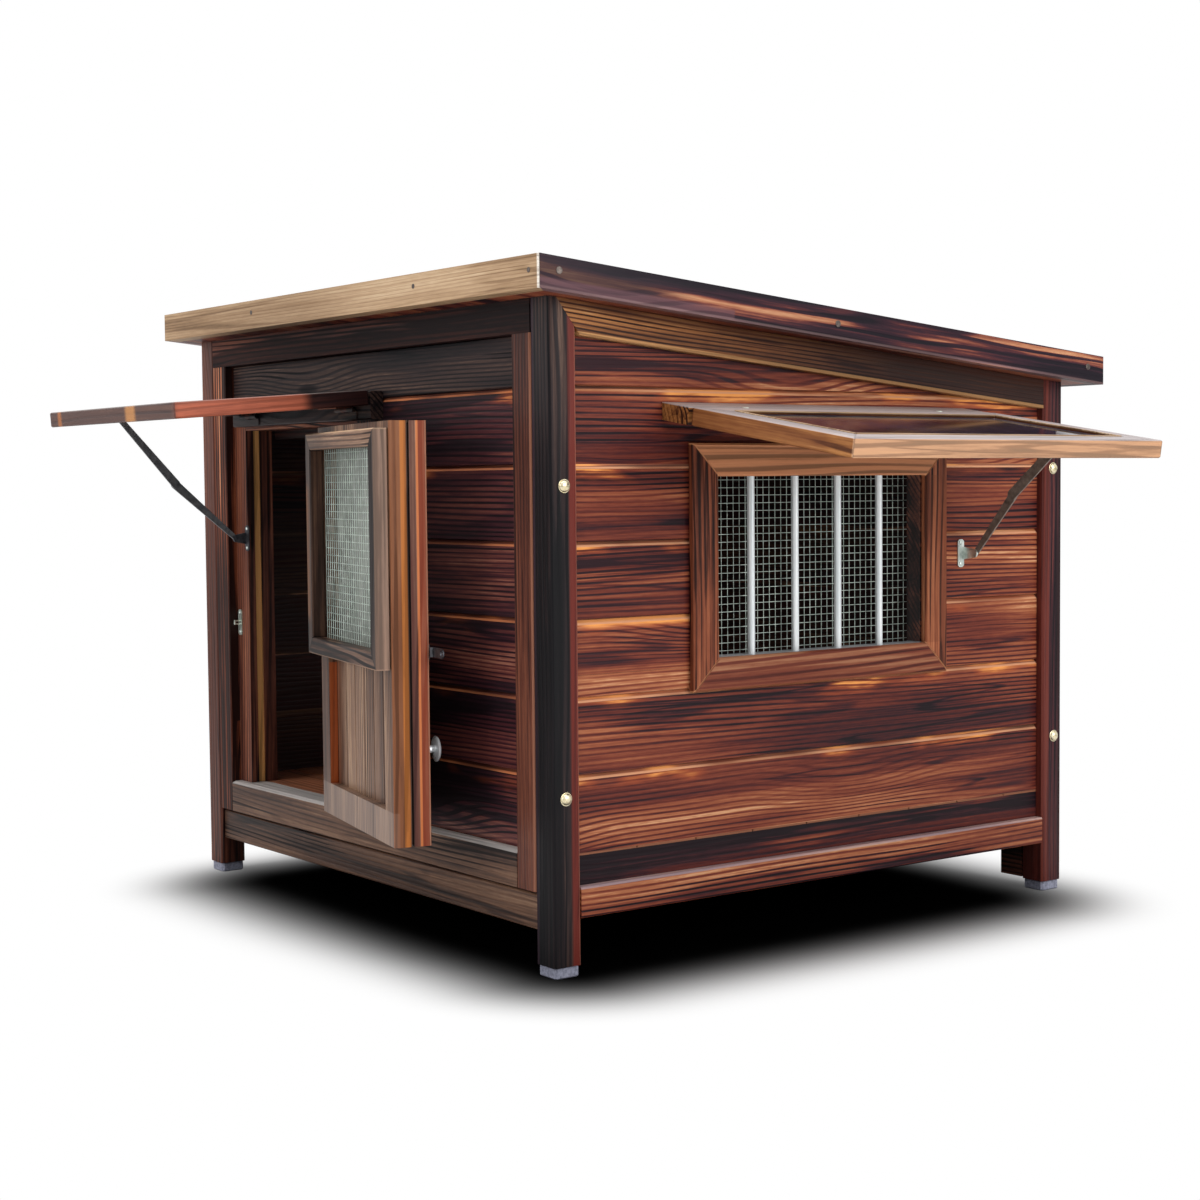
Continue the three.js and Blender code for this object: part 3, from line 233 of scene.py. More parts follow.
def new_group(name, inputs, outputs):
    group = bpy.data.node_groups.new(name, "ShaderNodeTree")
    for label, kind in inputs:
        group.interface.new_socket(name=label, in_out="INPUT", socket_type=kind)
    for label, kind in outputs:
        group.interface.new_socket(name=label, in_out="OUTPUT", socket_type=kind)
    return group, group.nodes.new("NodeGroupInput").outputs, group.nodes.new("NodeGroupOutput").inputs


def give(tree, result, **values):
    for label, value in values.items():
        tree.links.new(value, result[label])


FLOAT, VECTOR = "NodeSocketFloat", "NodeSocketVector"
print("Helpers for materials and groups are ready.")

# %% [markdown]
# ## Scorched cedar
#
# Cedar that has been scorched, brushed and oiled keeps its dark growth rings, with redder wood between
# them. On a sawn board the rings show as long lines, a few millimetres apart, that run side by side and
# bend round the knots. A photograph of wood would repeat and stretch, so the pattern is calculated. One
# group makes it for every wooden piece. It gets a position with the grain along X and the width of the
# board along Y, and gives back how light the wood is, how high the surface stands, and where the char is
# thick. The scales of its noises are cells per metre along, across and through the board.
#
# The rings come first. They are a wave across the board. A slow noise makes them wander, and each knot
# pushes them aside. Bold and faint stretches take turns along the board.

# %% Draw the growth rings
scorched_grain, given, result = new_group(
    "scorched_grain",
    [("Grain", VECTOR), ("Burn", FLOAT), ("Rings", FLOAT), ("Contrast", FLOAT), ("Patches", FLOAT)],
    [("Light", FLOAT), ("Height", FLOAT), ("Char", FLOAT)],
)
tree = scorched_grain
grain = given["Grain"]
parts = split(tree, grain)
across = calculate(tree, "MULTIPLY_ADD", parts[2], 0.6, parts[1])
wander = noise(tree, stretch(tree, grain, (0.9, 6.5, 6.5)), 1.0, 2.0, 0.5, 0.2)
knot_cells = {"Vector": stretch(tree, grain, (1.9, 8.5, 8.5)), "Scale": 1.0}
knots = add(tree, "ShaderNodeTexVoronoi", knot_cells, feature="F1").outputs
chance = add(tree, "ShaderNodeSeparateColor", {0: knots[1]}).outputs[0]
is_knot = calculate(tree, "GREATER_THAN", chance, 0.6)
bulge = calculate(tree, "MULTIPLY", remap(tree, knots[0], 0.02, 0.42, 1.0, 0.0), is_knot)
ring_number = calculate(tree, "MULTIPLY", across, given["Rings"])
ring_number = calculate(tree, "MULTIPLY_ADD", wander, 8.0, ring_number)
ring_number = calculate(tree, "MULTIPLY_ADD", bulge, 3.5, ring_number)
wave = calculate(tree, "SINE", calculate(tree, "MULTIPLY", ring_number, math.tau))
line = remap(tree, wave, -0.95, 0.1)
bold = noise(tree, stretch(tree, grain, (1.9, 13, 13), (5, 1, 2)), 1.0, 2.0)
strength = remap(tree, bold, 0.36, 0.62, 0.3, 1.0)
strength = calculate(tree, "MULTIPLY", strength, given["Contrast"])
print("The rings take", len(tree.nodes), "nodes.")

# %% [markdown]
# ## Patches, streaks and char
#
# Two slow noises decide where the wood is paler and where the fire went deep. The middle level of one
# more noise draws dark lines that flow along the board like the edge of a burn. Fine streaks and short
# ripples, left by the brush, come from noise that is stretched along the grain. Knots are always black.

# %% Lay the patches, the streaks and the char
patchy = noise(tree, stretch(tree, grain, (1.4, 20, 20), (3.1, 7.7, 1.3)), 1.0, 3.0, 0.5, 0.3)
zone = remap(tree, patchy, 0.34, 0.66)
flow = noise(tree, stretch(tree, grain, (1.2, 30, 30), (2.2, 5.1, 4.4)), 1.0, 2.0, 0.5, 0.4)
from_level = calculate(tree, "ABSOLUTE", calculate(tree, "SUBTRACT", flow, 0.5))
flow = remap(tree, from_level, 0.006, 0.03, 1.0, 0.0)
flow = calculate(tree, "MULTIPLY", flow, remap(tree, patchy, 0.45, 0.6, 1.0, 0.15))
streaks = noise(tree, stretch(tree, grain, (4, 280, 280)), 1.0, 3.0, 0.6)
ripples = noise(tree, stretch(tree, grain, (45, 420, 420)), 1.0, 2.0, 0.6)
fire = noise(tree, stretch(tree, grain, (1.3, 17, 17), (9.2, 4.1, 6.3)), 1.0, 2.5, 0.5, 0.4)
fire = calculate(tree, "MULTIPLY_ADD", line, -0.07, fire)
fire = calculate(tree, "MULTIPLY_ADD", given["Burn"], 0.25, fire)
core = calculate(tree, "MULTIPLY", remap(tree, knots[0], 0.05, 0.09, 1.0, 0.0), is_knot)
char = calculate(tree, "MAXIMUM", remap(tree, fire, 0.55, 0.6), core)
print("With patches and char it has", len(tree.nodes), "nodes.")

# %% [markdown]
# ## How light the wood is
#
# All these parts are now weighed together into one number, from black char to pale wood. The weights set
# how much each part shows. Values that swing round a half are centred first, so that they neither
# lighten nor darken the board as a whole. The dark lines also lie a little lower than the wood between.


# %% Weigh the parts of the grain
def centred(value, weight, onto):
    return calculate(tree, "MULTIPLY_ADD", calculate(tree, "SUBTRACT", value, 0.5), weight, onto)


light = centred(zone, given["Patches"], 0.5)
lines = calculate(tree, "MULTIPLY", calculate(tree, "SUBTRACT", line, 0.62), strength)
light = calculate(tree, "MULTIPLY_ADD", lines, 0.44, light)
light = calculate(tree, "MULTIPLY_ADD", flow, -0.26, light)
light = centred(streaks, 0.7, light)
light = centred(ripples, 0.26, light)
light = calculate(tree, "MULTIPLY_ADD", char, -0.36, light)
light = calculate(tree, "MULTIPLY_ADD", given["Burn"], -0.16, light, clamp=True)
height = calculate(tree, "MULTIPLY_ADD", line, 0.5, calculate(tree, "MULTIPLY", streaks, 0.6))
give(tree, result, Light=light, Height=height, Char=char)
print("The grain pattern has", len(tree.nodes), "nodes.")

# %% [markdown]
# ## Boards from one solid
#
# A wall is one solid, but real boards come from different trees. Each board could be its own piece, but
# a number for each board is enough to tell them apart. This group numbers the boards by height, gives
# each a large shift along the grain and its own tone, and marks the bevel at its top edge. The bevel is
# painted lighter, partly where the brush has taken the char off and partly as a painted highlight where
# it faces up. A pale line along the bevel is a painted highlight, and in places the wood under it is
# orange, partly where the flame only touched it and partly as a painted highlight.

# %% Number the wall boards
BOARDS_START, BOARD_COVER = 0.149, 0.095
wall_boards, given, result = new_group(
    "wall_boards",
    [("Position", VECTOR)],
    [("Shift", VECTOR), ("Tone", FLOAT), ("Edge", FLOAT), ("Glow", FLOAT), ("Seam", FLOAT)],
)
tree = wall_boards
height = split(tree, given["Position"])[2]
rows = calculate(tree, "DIVIDE", calculate(tree, "SUBTRACT", height, BOARDS_START), BOARD_COVER)
row = calculate(tree, "FLOOR", rows)
chance = add(tree, "ShaderNodeTexWhiteNoise", {"W": row}, noise_dimensions="1D").outputs
shift = combine(tree, "MULTIPLY", chance[1], (9, 9, 9))
within = calculate(tree, "FRACT", rows)
wobble = noise(tree, stretch(tree, given["Position"], (8, 8, 50)), 1.0, 3.0, 0.6)
place = calculate(tree, "MULTIPLY_ADD", calculate(tree, "SUBTRACT", wobble, 0.5), 0.5, within)
here = noise(tree, stretch(tree, given["Position"], (5, 5, 14), (4, 2, 8)), 1.0, 2.0)
# Orange near the top of each board: partly wood the flame only touched, partly a painted highlight.
glow = calculate(tree, "MULTIPLY", remap(tree, place, 0.78, 0.98), remap(tree, here, 0.47, 0.57))
# The bevel, painted lighter later: partly brushed bare, partly a painted highlight.
edge = remap(tree, within, 0.925, 0.945)
# The pale seam along the bevel is a painted highlight.
fading = remap(tree, within, 0.96, 0.972, 1.0, 0.25)
seam = calculate(tree, "MULTIPLY", remap(tree, within, 0.934, 0.942), fading)
seam = calculate(tree, "MULTIPLY", seam, remap(tree, here, 0.36, 0.5, 0.3, 0.9))
give(tree, result, Shift=shift, Tone=chance[0], Edge=edge, Glow=glow, Seam=seam)
print("Board rows are numbered from the floor up.")

# %% [markdown]
# ## Mitred frames
#
# The window trim, both flaps and the door's screen are frames of four strips. The grain must run along
# each strip and break at the corners. Four pieces for each frame would do it too, but the frames are
# solids of one piece here. So this group gets a position in the plane of the frame, with the middle and
# half size of its opening. It turns the grain in the upright strips, and marks the corner joints.

# %% Turn the grain at the corners of a frame
mitred_frame, given, result = new_group(
    "mitred_frame",
    [("Position", VECTOR), ("Middle", VECTOR), ("Half", VECTOR)],
    [("Grain", VECTOR), ("Upright", FLOAT), ("Joint", FLOAT)],
)
tree = mitred_frame
from_middle = combine(tree, "SUBTRACT", given["Position"], given["Middle"])
past = combine(tree, "SUBTRACT", combine(tree, "ABSOLUTE", from_middle), given["Half"])
past = split(tree, past)
upright = calculate(tree, "GREATER_THAN", past[0], past[1])
joint = calculate(tree, "ABSOLUTE", calculate(tree, "SUBTRACT", past[0], past[1]))
joint = remap(tree, joint, 0.0006, 0.0022, 1.0, 0.0)
here = split(tree, from_middle)
# Opposite strips get different shifts, so that they don't mirror each other.
side = calculate(tree, "MULTIPLY", calculate(tree, "SIGN", here[0]), 2.3)
end = calculate(tree, "MULTIPLY", calculate(tree, "SIGN", here[1]), 3.7)
level_x = calculate(tree, "ADD", here[0], end)
level_y = calculate(tree, "ADD", here[1], end)
level_grain = gather(tree, level_x, level_y, here[2])
upright_x = calculate(tree, "ADD", here[1], side)
upright_y = calculate(tree, "ADD", here[0], side)
upright_grain = gather(tree, upright_x, upright_y, here[2])
turned = choose(tree, upright, level_grain, upright_grain)
give(tree, result, Grain=turned, Upright=upright, Joint=joint)
print("Frames get their grain strip by strip.")

# %% [markdown]
# ## Wooden finishes
#
# Each finish is a ramp of colours from the deepest char to the lightest wood. One ramp for the whole
# house would look painted: the pieces differ in how deep the fire went, from the black header board to
# the pale front fascia. The values are read from pieces of each kind.

# %% List the colours of the finishes
finishes = {
    "wall": [
        (0.0, rgb(22, 10, 16)),
        (0.14, rgb(46, 21, 27)),
        (0.34, rgb(82, 33, 28)),
        (0.54, rgb(114, 53, 38)),
        (0.72, rgb(142, 78, 52)),
        (0.88, rgb(170, 106, 72)),
        (1.0, rgb(204, 150, 110)),
    ],
    "purple": [
        (0.0, rgb(18, 9, 14)),
        (0.25, rgb(38, 19, 26)),
        (0.5, rgb(68, 32, 36)),
        (0.75, rgb(106, 58, 50)),
        (1.0, rgb(160, 108, 88)),
    ],
    "black": [
        (0.0, rgb(6, 5, 8)),
        (0.3, rgb(20, 15, 18)),
        (0.6, rgb(42, 31, 31)),
        (0.85, rgb(72, 54, 48)),
        (1.0, rgb(116, 92, 78)),
    ],
    "brown": [
        (0.0, rgb(18, 9, 10)),
        (0.3, rgb(50, 26, 22)),
        (0.55, rgb(86, 47, 36)),
        (0.8, rgb(124, 74, 54)),
        (1.0, rgb(170, 116, 86)),
    ],
    "grey": [
        (0.0, rgb(24, 16, 14)),
        (0.3, rgb(62, 43, 35)),
        (0.55, rgb(100, 72, 56)),
        (0.8, rgb(138, 107, 85)),
        (1.0, rgb(194, 162, 132)),
    ],
    "trim": [
        (0.0, rgb(34, 14, 10)),
        (0.22, rgb(82, 40, 26)),
        (0.46, rgb(130, 70, 46)),
        (0.7, rgb(170, 104, 70)),
        (1.0, rgb(222, 164, 120)),
    ],
    "gold": [
        (0.0, rgb(40, 20, 12)),
        (0.25, rgb(88, 50, 28)),
        (0.5, rgb(134, 84, 46)),
        (0.75, rgb(176, 120, 70)),
        (1.0, rgb(222, 176, 124)),
    ],
    "flame": [
        (0.0, rgb(20, 12, 22)),
        (0.3, rgb(48, 25, 36)),
        (0.48, rgb(82, 40, 42)),
        (0.6, rgb(126, 68, 54)),
        (0.8, rgb(172, 112, 82)),
        (1.0, rgb(204, 150, 112)),
    ],
    "pale": [
        (0.0, rgb(112, 86, 62)),
        (0.35, rgb(156, 126, 96)),
        (0.65, rgb(184, 154, 122)),
        (1.0, rgb(218, 194, 162)),
    ],
}
print("Finishes:", ", ".join(finishes))

# %% [markdown]
# ## Along the grain of each piece
#
# Before the pattern can be drawn, a material finds its place on the piece and lays the grain along it.
# A piece that turns about a pin is unturned first, so that its grain follows the wood and not the room.
# The special cases are walls of `boards`, mitred frames (`frame_of`) and a floor whose side rims run the
# other way (`between_rims`).


# %% Lay the grain along a piece
def local(tree, origin, angle):
    # The place on a piece that was turned about its pin, as it was before the turn.
    moved = combine(tree, "SUBTRACT", place_on(tree), origin)
    return add(tree, "ShaderNodeMapping", {0: moved, 2: angle}).outputs[0]


def lay_grain(tree, place, axes, boards, frame_of, between_rims):
    grain = reorder(tree, place, axes)
    rows = corners = None
    if between_rims:
        inside = band(tree, place, "x", *between_rims)
        grain = choose(tree, inside, reorder(tree, place, "yzx"), grain)
    if boards:
        rows = add(tree, "ShaderNodeGroup", {"Position": place}, node_tree=wall_boards).outputs
        grain = combine(tree, "ADD", grain, rows["Shift"])
    if frame_of:
        wanted = {"Position": grain, "Middle": frame_of[0], "Half": frame_of[1]}
        corners = add(tree, "ShaderNodeGroup", wanted, node_tree=mitred_frame).outputs
        grain = corners["Grain"]
    return grain, rows, corners


print("The grain can follow boards, frames and floors.")

# %% [markdown]
# ## Local details
#
# A rubbed edge, a strip that the fire missed, a painted highlight on a top face that looks up at the sky
# or painted shade on an inner face is a mark: a colour and a strength, kept to a band of positions along
# one or more axes. Painting by hand would need an image, and bands need none. A mark shows more on
# light wood than on char. With `level_strips` it stays off the upright strips of a frame.


# %% Write the functions for marks
def mark(tint, strength, soft=0.0004, level_strips=False, **bands):
    return {"tint": tint, "strength": strength, "soft": soft, "level": level_strips, "bands": bands}


def add_mark(tree, colour, detail, place, light, corners):
    mask = remap(tree, light, 0.15, 0.5, detail["strength"] * 0.6, detail["strength"])
    for axis, (low, high) in detail["bands"].items():
        mask = calculate(tree, "MULTIPLY", mask, band(tree, place, axis, low, high, detail["soft"]))
    if detail["level"]:
        level = calculate(tree, "SUBTRACT", 1.0, corners["Upright"])
        mask = calculate(tree, "MULTIPLY", mask, level)
    return blend(tree, mask, colour, detail["tint"])


print("Marks are ready.")

# %% [markdown]
# ## One function for all the wood
#
# The function lays the grain, runs the pattern and colours it. After the finish and the order of the
# axes come the burn, the shift to another stretch of the pattern, the rings per metre, their contrast,
# the strength of the patches and the gloss. Oiled wood shines only weakly, so the specular level is low.
# Boards get their tone, a lighter bevel and, here and there, orange wood, each partly bare or unburnt
# wood and partly a painted highlight, and a pale seam that is a painted highlight. In frames the upright
# strips are calmer and the joints dark or tinted.


# %% Write the function that makes a wooden material
WOOD_SPECULAR = 0.14
# The pale seam is a painted highlight on the bevel; the orange is partly unburnt wood and partly a painted
# highlight.
SEAM_HIGHLIGHT = rgb(218, 158, 120)
EMBER_AND_HIGHLIGHT_TINTS = [(0.2, rgb(176, 84, 46)), (0.9, rgb(238, 158, 84))]
materials_made = []


def wooden(
    name,
    finish,
    axes,
    burn=0.0,
    shift=(0, 0, 0),
    rings=135.0,
    contrast=1.0,
    patches=0.42,
    gloss=0.4,
    boards=False,
    seam=SEAM_HIGHLIGHT,
    frame_of=None,
    between_rims=None,
    origin=(0, 0, 0),
    angle=(0, 0, 0),
    marks=(),
    joint_tint=None,
):
    material, tree, shader = new_material(name)
    place = local(tree, origin, angle)
    grain, rows, corners = lay_grain(tree, place, axes, boards, frame_of, between_rims)
    if frame_of:
        contrast = remap(tree, corners["Upright"], 0.0, 1.0, contrast, contrast * 0.45)
    wanted = {
        "Grain": combine(tree, "ADD", grain, shift),
        "Burn": burn,
        "Rings": rings,
        "Contrast": contrast,
        "Patches": patches,
    }
    pattern = add(tree, "ShaderNodeGroup", wanted, node_tree=scorched_grain).outputs
    light = pattern["Light"]
    if boards:
        tone = calculate(tree, "SUBTRACT", rows["Tone"], 0.5)
        light = calculate(tree, "MULTIPLY_ADD", tone, 0.26, light)
        # The bevel is painted lighter: partly brushed bare wood, partly a painted highlight.
        light = calculate(tree, "MULTIPLY_ADD", rows["Edge"], 0.1, light, clamp=True)
    if frame_of:
        light = calculate(tree, "MULTIPLY_ADD", corners["Upright"], -0.06, light)
        light = calculate(tree, "MULTIPLY_ADD", corners["Joint"], -0.3, light, clamp=True)
    colour = ramp(tree, light, finishes[finish])
    if joint_tint:
        colour = blend(tree, calculate(tree, "MULTIPLY", corners["Joint"], 0.8), colour, joint_tint)
    if boards:
        # Orange on the boards, partly unburnt wood and partly a painted highlight, then the pale seam, a
        # painted highlight.
        ember_and_highlight = calculate(tree, "MULTIPLY", rows["Glow"], remap(tree, light, 0.2, 0.5, 0.2, 1.0))
        flame = ramp(tree, ember_and_highlight, EMBER_AND_HIGHLIGHT_TINTS)
        colour = blend(tree, calculate(tree, "POWER", ember_and_highlight, 0.7), colour, flame)
        colour = blend(tree, rows["Seam"], colour, seam)
    for detail in marks:
        colour = add_mark(tree, colour, detail, place, light, corners)
    tree.links.new(colour, shader.inputs["Base Color"])
    rough = remap(tree, pattern["Char"], 0.0, 1.0, gloss, gloss + 0.14)
    tree.links.new(rough, shader.inputs["Roughness"])
    raise_relief(tree, shader, pattern["Height"], 0.4, 0.0008)
    shader.inputs["Specular IOR Level"].default_value = WOOD_SPECULAR
    materials_made.append(name)
    return material


def paint(material, *names):
    for name in names:
        used = nodes[name].data.materials
        used.clear()
        used.append(material)


print("The wood function is ready.")

# %% [markdown]
# ## The pins
#
# The door stands open at rest and both flaps are tilted a little, so their wood lies at an angle. The
# pins that they turn on come from the joints of the model. With a pin and an angle the wood function can
# think of each piece as straight.

# %% Find the pins that the door and the flaps turn on
pins = {joint["name"]: Vector(joint["pos_m"]) for joint in frame["joints"]}
door_pin = Vector((pins["door_swing"].x, pins["door_swing"].y, 0))
door_opened = math.radians(166.4)
front_tilt = math.radians(4.3)
side_tilt = math.radians(8.8)
on_door = {"origin": door_pin, "angle": (0, 0, -door_opened)}
on_side_flap = {"origin": pins["side_flap_swing"], "angle": (0, -side_tilt, 0)}
on_front_flap = {"origin": pins["front_flap_swing"], "angle": (-front_tilt, 0, 0)}
print("Pins:", {name: tuple(round(v, 3) for v in pin) for name, pin in pins.items() if "swing" in name})

# %% [markdown]
# ## Posts
#
# The near post took the deepest burn and is almost black. A red strip is left along its inner edge,
# with a pale line where the brush rubbed the corner. The far post is a dark purple red, and the left
# posts are brown. Marks draw the strips, because the post is one solid. A mark that should run past the
# end of a piece goes to `BEYOND`, which is further out than any piece reaches.

# %% Finish the posts
BEYOND = 9.0
near_low, near_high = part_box("post_front_right")
far_low, far_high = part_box("post_back_right")
outer_face = (near_high.x - 0.003, 1.0)
past_near = near_high.y + 0.01
near_marks = [
    mark(rgb(112, 40, 30), 0.75, 0.002, y=(near_high.y - 0.013, past_near), x=outer_face),
    mark(rgb(176, 112, 92), 0.7, 0.0008, y=(near_high.y - 0.003, past_near), x=outer_face),
    mark(rgb(58, 38, 50), 0.6, 0.002, x=(near_low.x - 0.01, near_low.x + 0.007)),
]
far_marks = [
    mark(rgb(110, 48, 36), 0.7, 0.002, y=(far_low.y - 0.01, far_low.y + 0.013)),
    mark(rgb(60, 34, 34), 0.5, 0.002, y=(far_high.y - 0.01, far_high.y + 0.01)),
]
near_wood = wooden("near_post_wood", "black", "zxy", 0.25, (2.1, 0.4, 5), marks=near_marks)
paint(near_wood, "post_front_right")
far_wood = wooden("far_post_wood", "purple", "zyx", 0.3, (7.3, 1.4, 2), 130, 0.8, 0.3, marks=far_marks)
paint(far_wood, "post_back_right")
left_wood = wooden("left_post_wood", "brown", "zxy", -0.75, (4.3, 9.4, 1), 130, 0.5, 0.25)
paint(left_wood, "post_front_left", "post_back_left")
print("The near post is the darkest, with red wood left along its inner edge.")

# %% [markdown]
# ## Rails, stiles and sill of the front
#
# The head rail and the header board were scorched nearly black, and their skin is duller. The stiles are
# red brown, and the right one is rubbed pale along its outer edge. The top of the sill looks up and
# catches the sky, so it gets a pale mark.

# %% Finish the frame of the front
SKY = rgb(206, 200, 196)
head_rail = wooden("head_rail_wood", "brown", "xzy", 0.5, (1, 3.3, 8), 150, 0.5, 0.25, gloss=0.55)
paint(head_rail, "front_top_rail")
paint(wooden("header_wood", "black", "xzy", 0.2, (5, 1.1, 3), 170, 1.2, gloss=0.55), "header_board")
stile_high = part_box("front_stile_right")[1].x
stile_edge = [mark(rgb(160, 108, 84), 0.65, x=(stile_high - 0.0028, BEYOND))]
right_stile = wooden(
    "right_stile_wood", "brown", "zxy", 0.1, (1, 6.2, 4), 150, 0.45, 0.25, marks=stile_edge
)
paint(right_stile, "front_stile_right")
paint(wooden("left_stile_wood", "trim", "zxy", 0.75, (3, 2.2, 9), 95, 1.7, 0.5), "front_stile_left")
sill_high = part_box("front_bottom_rail")[1].z
sill_top = [mark(SKY, 0.9, z=(sill_high - 0.0034, BEYOND))]
door_sill = wooden("door_sill_wood", "grey", "xzy", 0.0, (8, 4.1, 6), 130, 0.5, 0.3, marks=sill_top)
paint(door_sill, "front_bottom_rail")
paint(wooden("front_apron_wood", "grey", "xzy", 0.3, (2, 7.7, 1), 130, 0.35, 0.3), "front_apron")
print(len(materials_made), "wooden materials so far")

# %% [markdown]
# ## Front boards and the doorway
#
# The boards beside the door stand in the shade of the eaves, so their colour is painted darker than that
# of the boards round the window: painted shade.
# The lining of the doorway is brown, and the rebate in its left jamb shows a strip of bare golden wood.

# %% Finish the front boards and the jambs
# Painted shade: a darker finish for the boards under the eaves.
front_boards = wooden(
    "front_wall_wood", "purple", "xzy", 0.45, (1, 2, 3), 150, 0.8, boards=True, seam=rgb(206, 124, 80)
)
paint(front_boards, "front_wall_boards")
jamb_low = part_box("jamb_left")[0].y
jamb_marks = [mark(rgb(214, 158, 96), 0.85, y=(jamb_low + 0.012, jamb_low + 0.022))]
paint(wooden("left_jamb_wood", "brown", "zxy", 0.1, (6, 3, 2), marks=jamb_marks), "jamb_left")
paint(wooden("right_jamb_wood", "brown", "zxy", 0.1, (6, 3, 2)), "jamb_right")
paint(wooden("head_jamb_wood", "brown", "xzy", 0.2, (9, 5, 2)), "jamb_head")
print(len(materials_made), "wooden materials so far")

# %% [markdown]
# ## Side and back walls
#
# All three walls are bevelled boards of the same red brown cedar. The window wall is four solids, but
# one material paints them all, so the boards run on from one to the next. Inside, the boards are painted
# nearly black, as painted shade for the dark inside of the cabin, and a mark keeps that to the inner
# face of each wall.

# %% Finish the walls
window_wall = wooden("window_wall_wood", "wall", "yzx", -0.1, (3, 1, 7), 150, 1.0, 0.46, boards=True)
paint(window_wall, "right_wall_lower", "right_wall_upper", "right_wall_front", "right_wall_back")
# Painted shade: the inner faces of the walls are painted nearly black.
INSIDE_SHADE = rgb(18, 14, 16)
left_inside = [mark(INSIDE_SHADE, 0.92, 0.001, x=(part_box("left_wall")[1].x - 0.008, BEYOND))]
back_inside = [mark(INSIDE_SHADE, 0.92, 0.001, y=(-BEYOND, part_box("back_wall")[0].y + 0.008))]
left_wall = wooden("left_wall_wood", "wall", "yzx", 0.0, (5, 8, 2), boards=True, marks=left_inside)
paint(left_wall, "left_wall")
back_wall = wooden("back_wall_wood", "wall", "xzy", 0.0, (2, 5, 9), boards=True, marks=back_inside)
paint(back_wall, "back_wall")
print(len(materials_made), "wooden materials so far")

# %% [markdown]
# ## Aprons and floor
#
# The aprons are the boards below the floor. Their top edges stick out from the wall and face the sky, so
# they get a painted highlight. The floor's boards run from side to side inside two rims that run from
# front to back, so the grain turns at the rims.

# %% Finish the aprons and the floor
# Painted highlight: the top faces of the aprons are painted pale.
apron_top_highlight = [mark(rgb(168, 154, 160), 0.6, 0.0006, z=(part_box("right_apron")[1].z - 0.0026, BEYOND))]
side_apron = wooden("side_apron_wood", "wall", "yzx", 0.0, (4, 7, 3), 130, 1.0, 0.5, marks=apron_top_highlight)
paint(side_apron, "right_apron", "left_apron")
paint(wooden("back_apron_wood", "brown", "xzy", 0.2, (7, 1, 5)), "back_apron")
RIM_WIDTH = 0.03
floor_low, floor_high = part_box("floor_deck")
rims = (floor_low.x + RIM_WIDTH, floor_high.x - RIM_WIDTH)
rim_top = [mark(rgb(196, 128, 92), 0.7, z=(floor_high.z - 0.0022, BEYOND))]
floor_wood = wooden(
    "floor_wood", "wall", "xyz", 0.35, (2, 3, 8), 110, 0.5, 0.4, between_rims=rims, marks=rim_top
)
paint(floor_wood, "floor_deck")
print(len(materials_made), "wooden materials so far")

# %% [markdown]
# ## Roof edge and side rail
#
# The side fascias and the side rail follow the slope of the roof, so their grain is laid along it. The
# right fascia shows tongues of bare wood between black char, from a low ring count and strong patches.
# The side rail is golden, with a light line along its foot, and gets darker towards the back. Along the
# slope, the positions in the marks are counted from the back end, so those further forward are negative.


# %% Finish the sloping pieces
ROOF_FALL = 0.092
slope = math.atan(ROOF_FALL)


def along_slope(name):
    low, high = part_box(name)
    return {"origin": Vector((high.x, high.y, low.z)), "angle": (slope, 0, 0)}


on_rail, on_fascia = along_slope("right_top_rail"), along_slope("right_fascia")
rail_marks = [
    mark(rgb(28, 17, 20), 0.95, 0.16, y=(-0.44, 1.0)),
    mark(rgb(66, 36, 26), 0.6, 0.004, z=(0.03, 0.1)),
    mark(rgb(214, 160, 104), 0.7, 0.0008, z=(-0.01, 0.0042)),
]
side_rail = wooden(
    "side_rail_wood", "gold", "yzx", 0.3, (6, 2, 4), 170, 1.1, 0.5, marks=rail_marks, **on_rail
)
paint(side_rail, "right_top_rail")
fascia_marks = [
    mark(rgb(34, 26, 34), 0.85, 0.06, y=(-1.2, -0.8)),
    mark(rgb(104, 72, 78), 0.7, 0.002, y=(-1.2, -0.7), z=(-0.01, 0.013)),
    mark(rgb(150, 120, 118), 0.55, 0.001, z=(-0.01, 0.003)),
]
side_fascia = wooden(
    "side_fascia_wood", "flame", "yzx", 0.12, (6, 6.3, 1), 80, 1.0, 1.1, marks=fascia_marks, **on_fascia
)
paint(side_fascia, "right_fascia", "left_fascia")
print(len(materials_made), "wooden materials so far")

# %% [markdown]
# ## Roof boards and the other fascias
#
# The roof boards are like those of the walls, and the back fascia is dark. The fire hardly touched the
# front fascia. It is pale and fine grained, and its sawn end at the corner is nearly white.

# %% Finish the roof boards and the level fascias
paint(wooden("roof_wood", "wall", "yxz", 0.15, (8, 2, 6)), "roof_panel")
pale_end = [mark(rgb(238, 232, 222), 0.9, x=(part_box("front_fascia")[1].x - 0.005, BEYOND))]
front_fascia = wooden(
    "front_fascia_wood", "pale", "xzy", -0.3, (1, 4, 2), 230, 0.4, 0.3, 0.5, marks=pale_end
)
paint(front_fascia, "front_fascia")
paint(wooden("back_fascia_wood", "purple", "xzy", 0.15, (3, 8, 4), 90), "back_fascia")
print(len(materials_made), "wooden materials so far")

# %% [markdown]
# ## Window trim
#
# The trim is a frame of four mitred boards, lighter than the wall. Its outer edges at the top and the
# bottom get painted highlights where they catch light, the top board is the palest, and the bottom one
# is redder.

